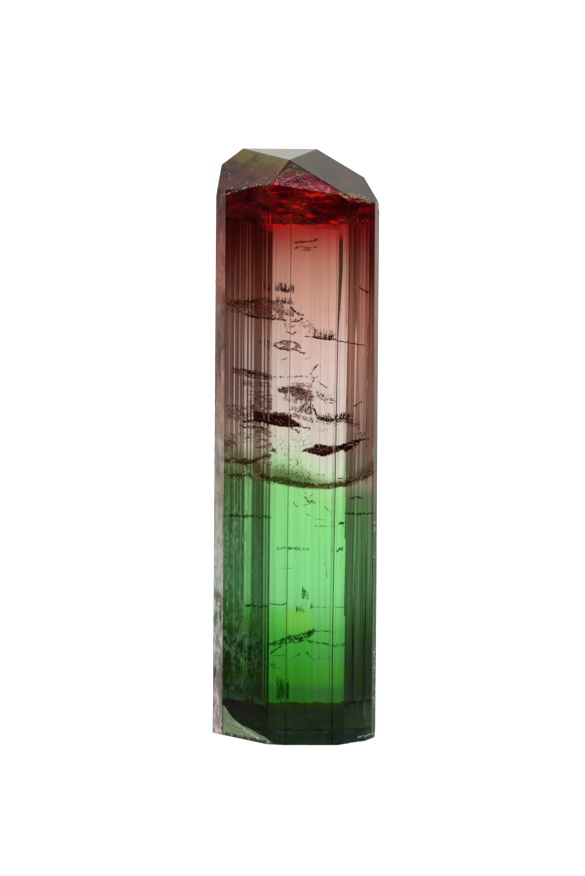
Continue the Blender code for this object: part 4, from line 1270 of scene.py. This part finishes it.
# -------------------------------------------------------------------- stage
def stage_floor():
    bm = bmesh.new()
    bmesh.ops.create_grid(bm, x_segments=1, y_segments=1, size=3.0)
    mesh = bpy.data.meshes.new("stage_floor")
    bm.to_mesh(mesh)
    bm.free()
    ob = bpy.data.objects.new("stage_floor", mesh)
    bpy.context.scene.collection.objects.link(ob)
    m, k, out = fresh("stage_floor")
    co = k.new("ShaderNodeTexCoord")
    sep = k.new("ShaderNodeSeparateXYZ")
    k.link(co.outputs["Object"], sep.inputs[0])
    x, y, _z = sep.outputs
    # painted pool of light: the floor's own glow is raised in a wedge that opens away from the viewer behind the
    # crystal, and in a strip close to it
    angle = k.math("ARCTAN2", k.math("ABSOLUTE", x), y)
    painted_pool_wedge = k.range(angle, radians(7), radians(34), 1.0, 0.0, True)
    near = k.range(k.math("ABSOLUTE", x), 0.038, 0.085, 1.0, 0.0, True)
    near = k.math("MULTIPLY", near, k.range(y, -0.16, -0.30, 1.0, 0.25, True))
    near = k.math("MULTIPLY", near, k.range(y, 0.10, 0.30, 1.0, 0.0, True))
    g = k.math("MAXIMUM", painted_pool_wedge, near)
    p = k.new("ShaderNodeBsdfPrincipled")
    p.inputs["Base Color"].default_value = (0.30, 0.30, 0.30, 1.0)
    p.inputs["Roughness"].default_value = 0.9
    p.inputs["Specular IOR Level"].default_value = 0.0
    p.inputs["Emission Color"].default_value = (1.0, 1.0, 1.0, 1.0)
    k.link(k.math("ADD", FLOOR_BASE, k.math("MULTIPLY", g, FLOOR_POOL)), p.inputs["Emission Strength"])
    k.link(p.outputs[0], out.inputs["Surface"])
    mesh.materials.append(m)
    ob.visible_glossy = False
    return ob


FLOOR_BASE, FLOOR_POOL = 0.42, 0.53
stage_floor()


def world():
    w = bpy.data.worlds.new("studio")
    bpy.context.scene.world = w
    w.use_nodes = True
    w.node_tree.nodes.clear()
    k = Nodes(w.node_tree)
    out = k.new("ShaderNodeOutputWorld")
    co = k.new("ShaderNodeTexCoord")
    sep = k.new("ShaderNodeSeparateXYZ")
    k.link(co.outputs["Generated"], sep.inputs[0])
    x, y, z = sep.outputs
    az = k.math("ARCTAN2", k.math("ABSOLUTE", x), y)
    back = k.range(az, radians(8), radians(75), 1.0, 0.0, True)
    low = k.range(z, 0.05, 0.62, 1.0, 0.12, True)
    back = k.math("MULTIPLY", back, low)
    over = k.range(z, 0.35, 0.95, 0.0, 1.0, True)
    below = k.range(z, -0.02, -0.10, 1.0, 0.15, True)
    v = k.math("ADD", 0.16, k.math("MULTIPLY", back, 0.80))
    v = k.math("ADD", v, k.math("MULTIPLY", over, 0.45))
    front = k.range(y, -0.9, 0.1, 0.45, 1.0, True)
    v = k.math("MULTIPLY", k.math("MULTIPLY", v, below), front)
    bg = k.new("ShaderNodeBackground")
    k.link(v, bg.inputs["Strength"])
    bg.inputs["Color"].default_value = (1, 1, 1, 1)
    k.link(bg.outputs[0], out.inputs["Surface"])


world()


def area(name, loc, aim, size, power, size_y=None, spread=180):
    d = bpy.data.lights.new(name, "AREA")
    d.shape = "RECTANGLE"
    d.size, d.size_y = size, size_y or size
    d.energy = power
    d.spread = radians(spread)
    o = bpy.data.objects.new(name, d)
    o.location = loc
    o.rotation_mode = "QUATERNION"
    o.rotation_quaternion = (Vector(aim) - Vector(loc)).to_track_quat("-Z", "Y")
    bpy.context.scene.collection.objects.link(o)
    return o


area("softbox_top", (0.05, 0.10, 0.55), (0, 0, 0.03), 0.36, 1.2)

# ------------------------------------------------------------------- camera
cam_data = bpy.data.cameras.new("camera")
cam = bpy.data.objects.new("camera", cam_data)
bpy.context.scene.collection.objects.link(cam)
cam_data.sensor_width = 36.0
cam.location = VIEW_FROM
cam.rotation_mode = "QUATERNION"
cam.rotation_quaternion = (-VIEW_BACK).to_track_quat("-Z", "Y")
cam_data.lens = 36.0 * CAM_DIST / (876 * PX * MM)
cam_data.clip_start, cam_data.clip_end = 0.05, 20.0
bpy.context.scene.camera = cam

sc = bpy.context.scene
sc.view_settings.view_transform = "Standard"
sc.view_settings.look = "None"
sc.cycles.max_bounces = 40
sc.cycles.transmission_bounces = 36
sc.cycles.glossy_bounces = 24
sc.cycles.diffuse_bounces = 3
sc.cycles.transparent_max_bounces = 48
sc.cycles.caustics_reflective = True
sc.cycles.caustics_refractive = True
sc.cycles.blur_glossy = 0.0
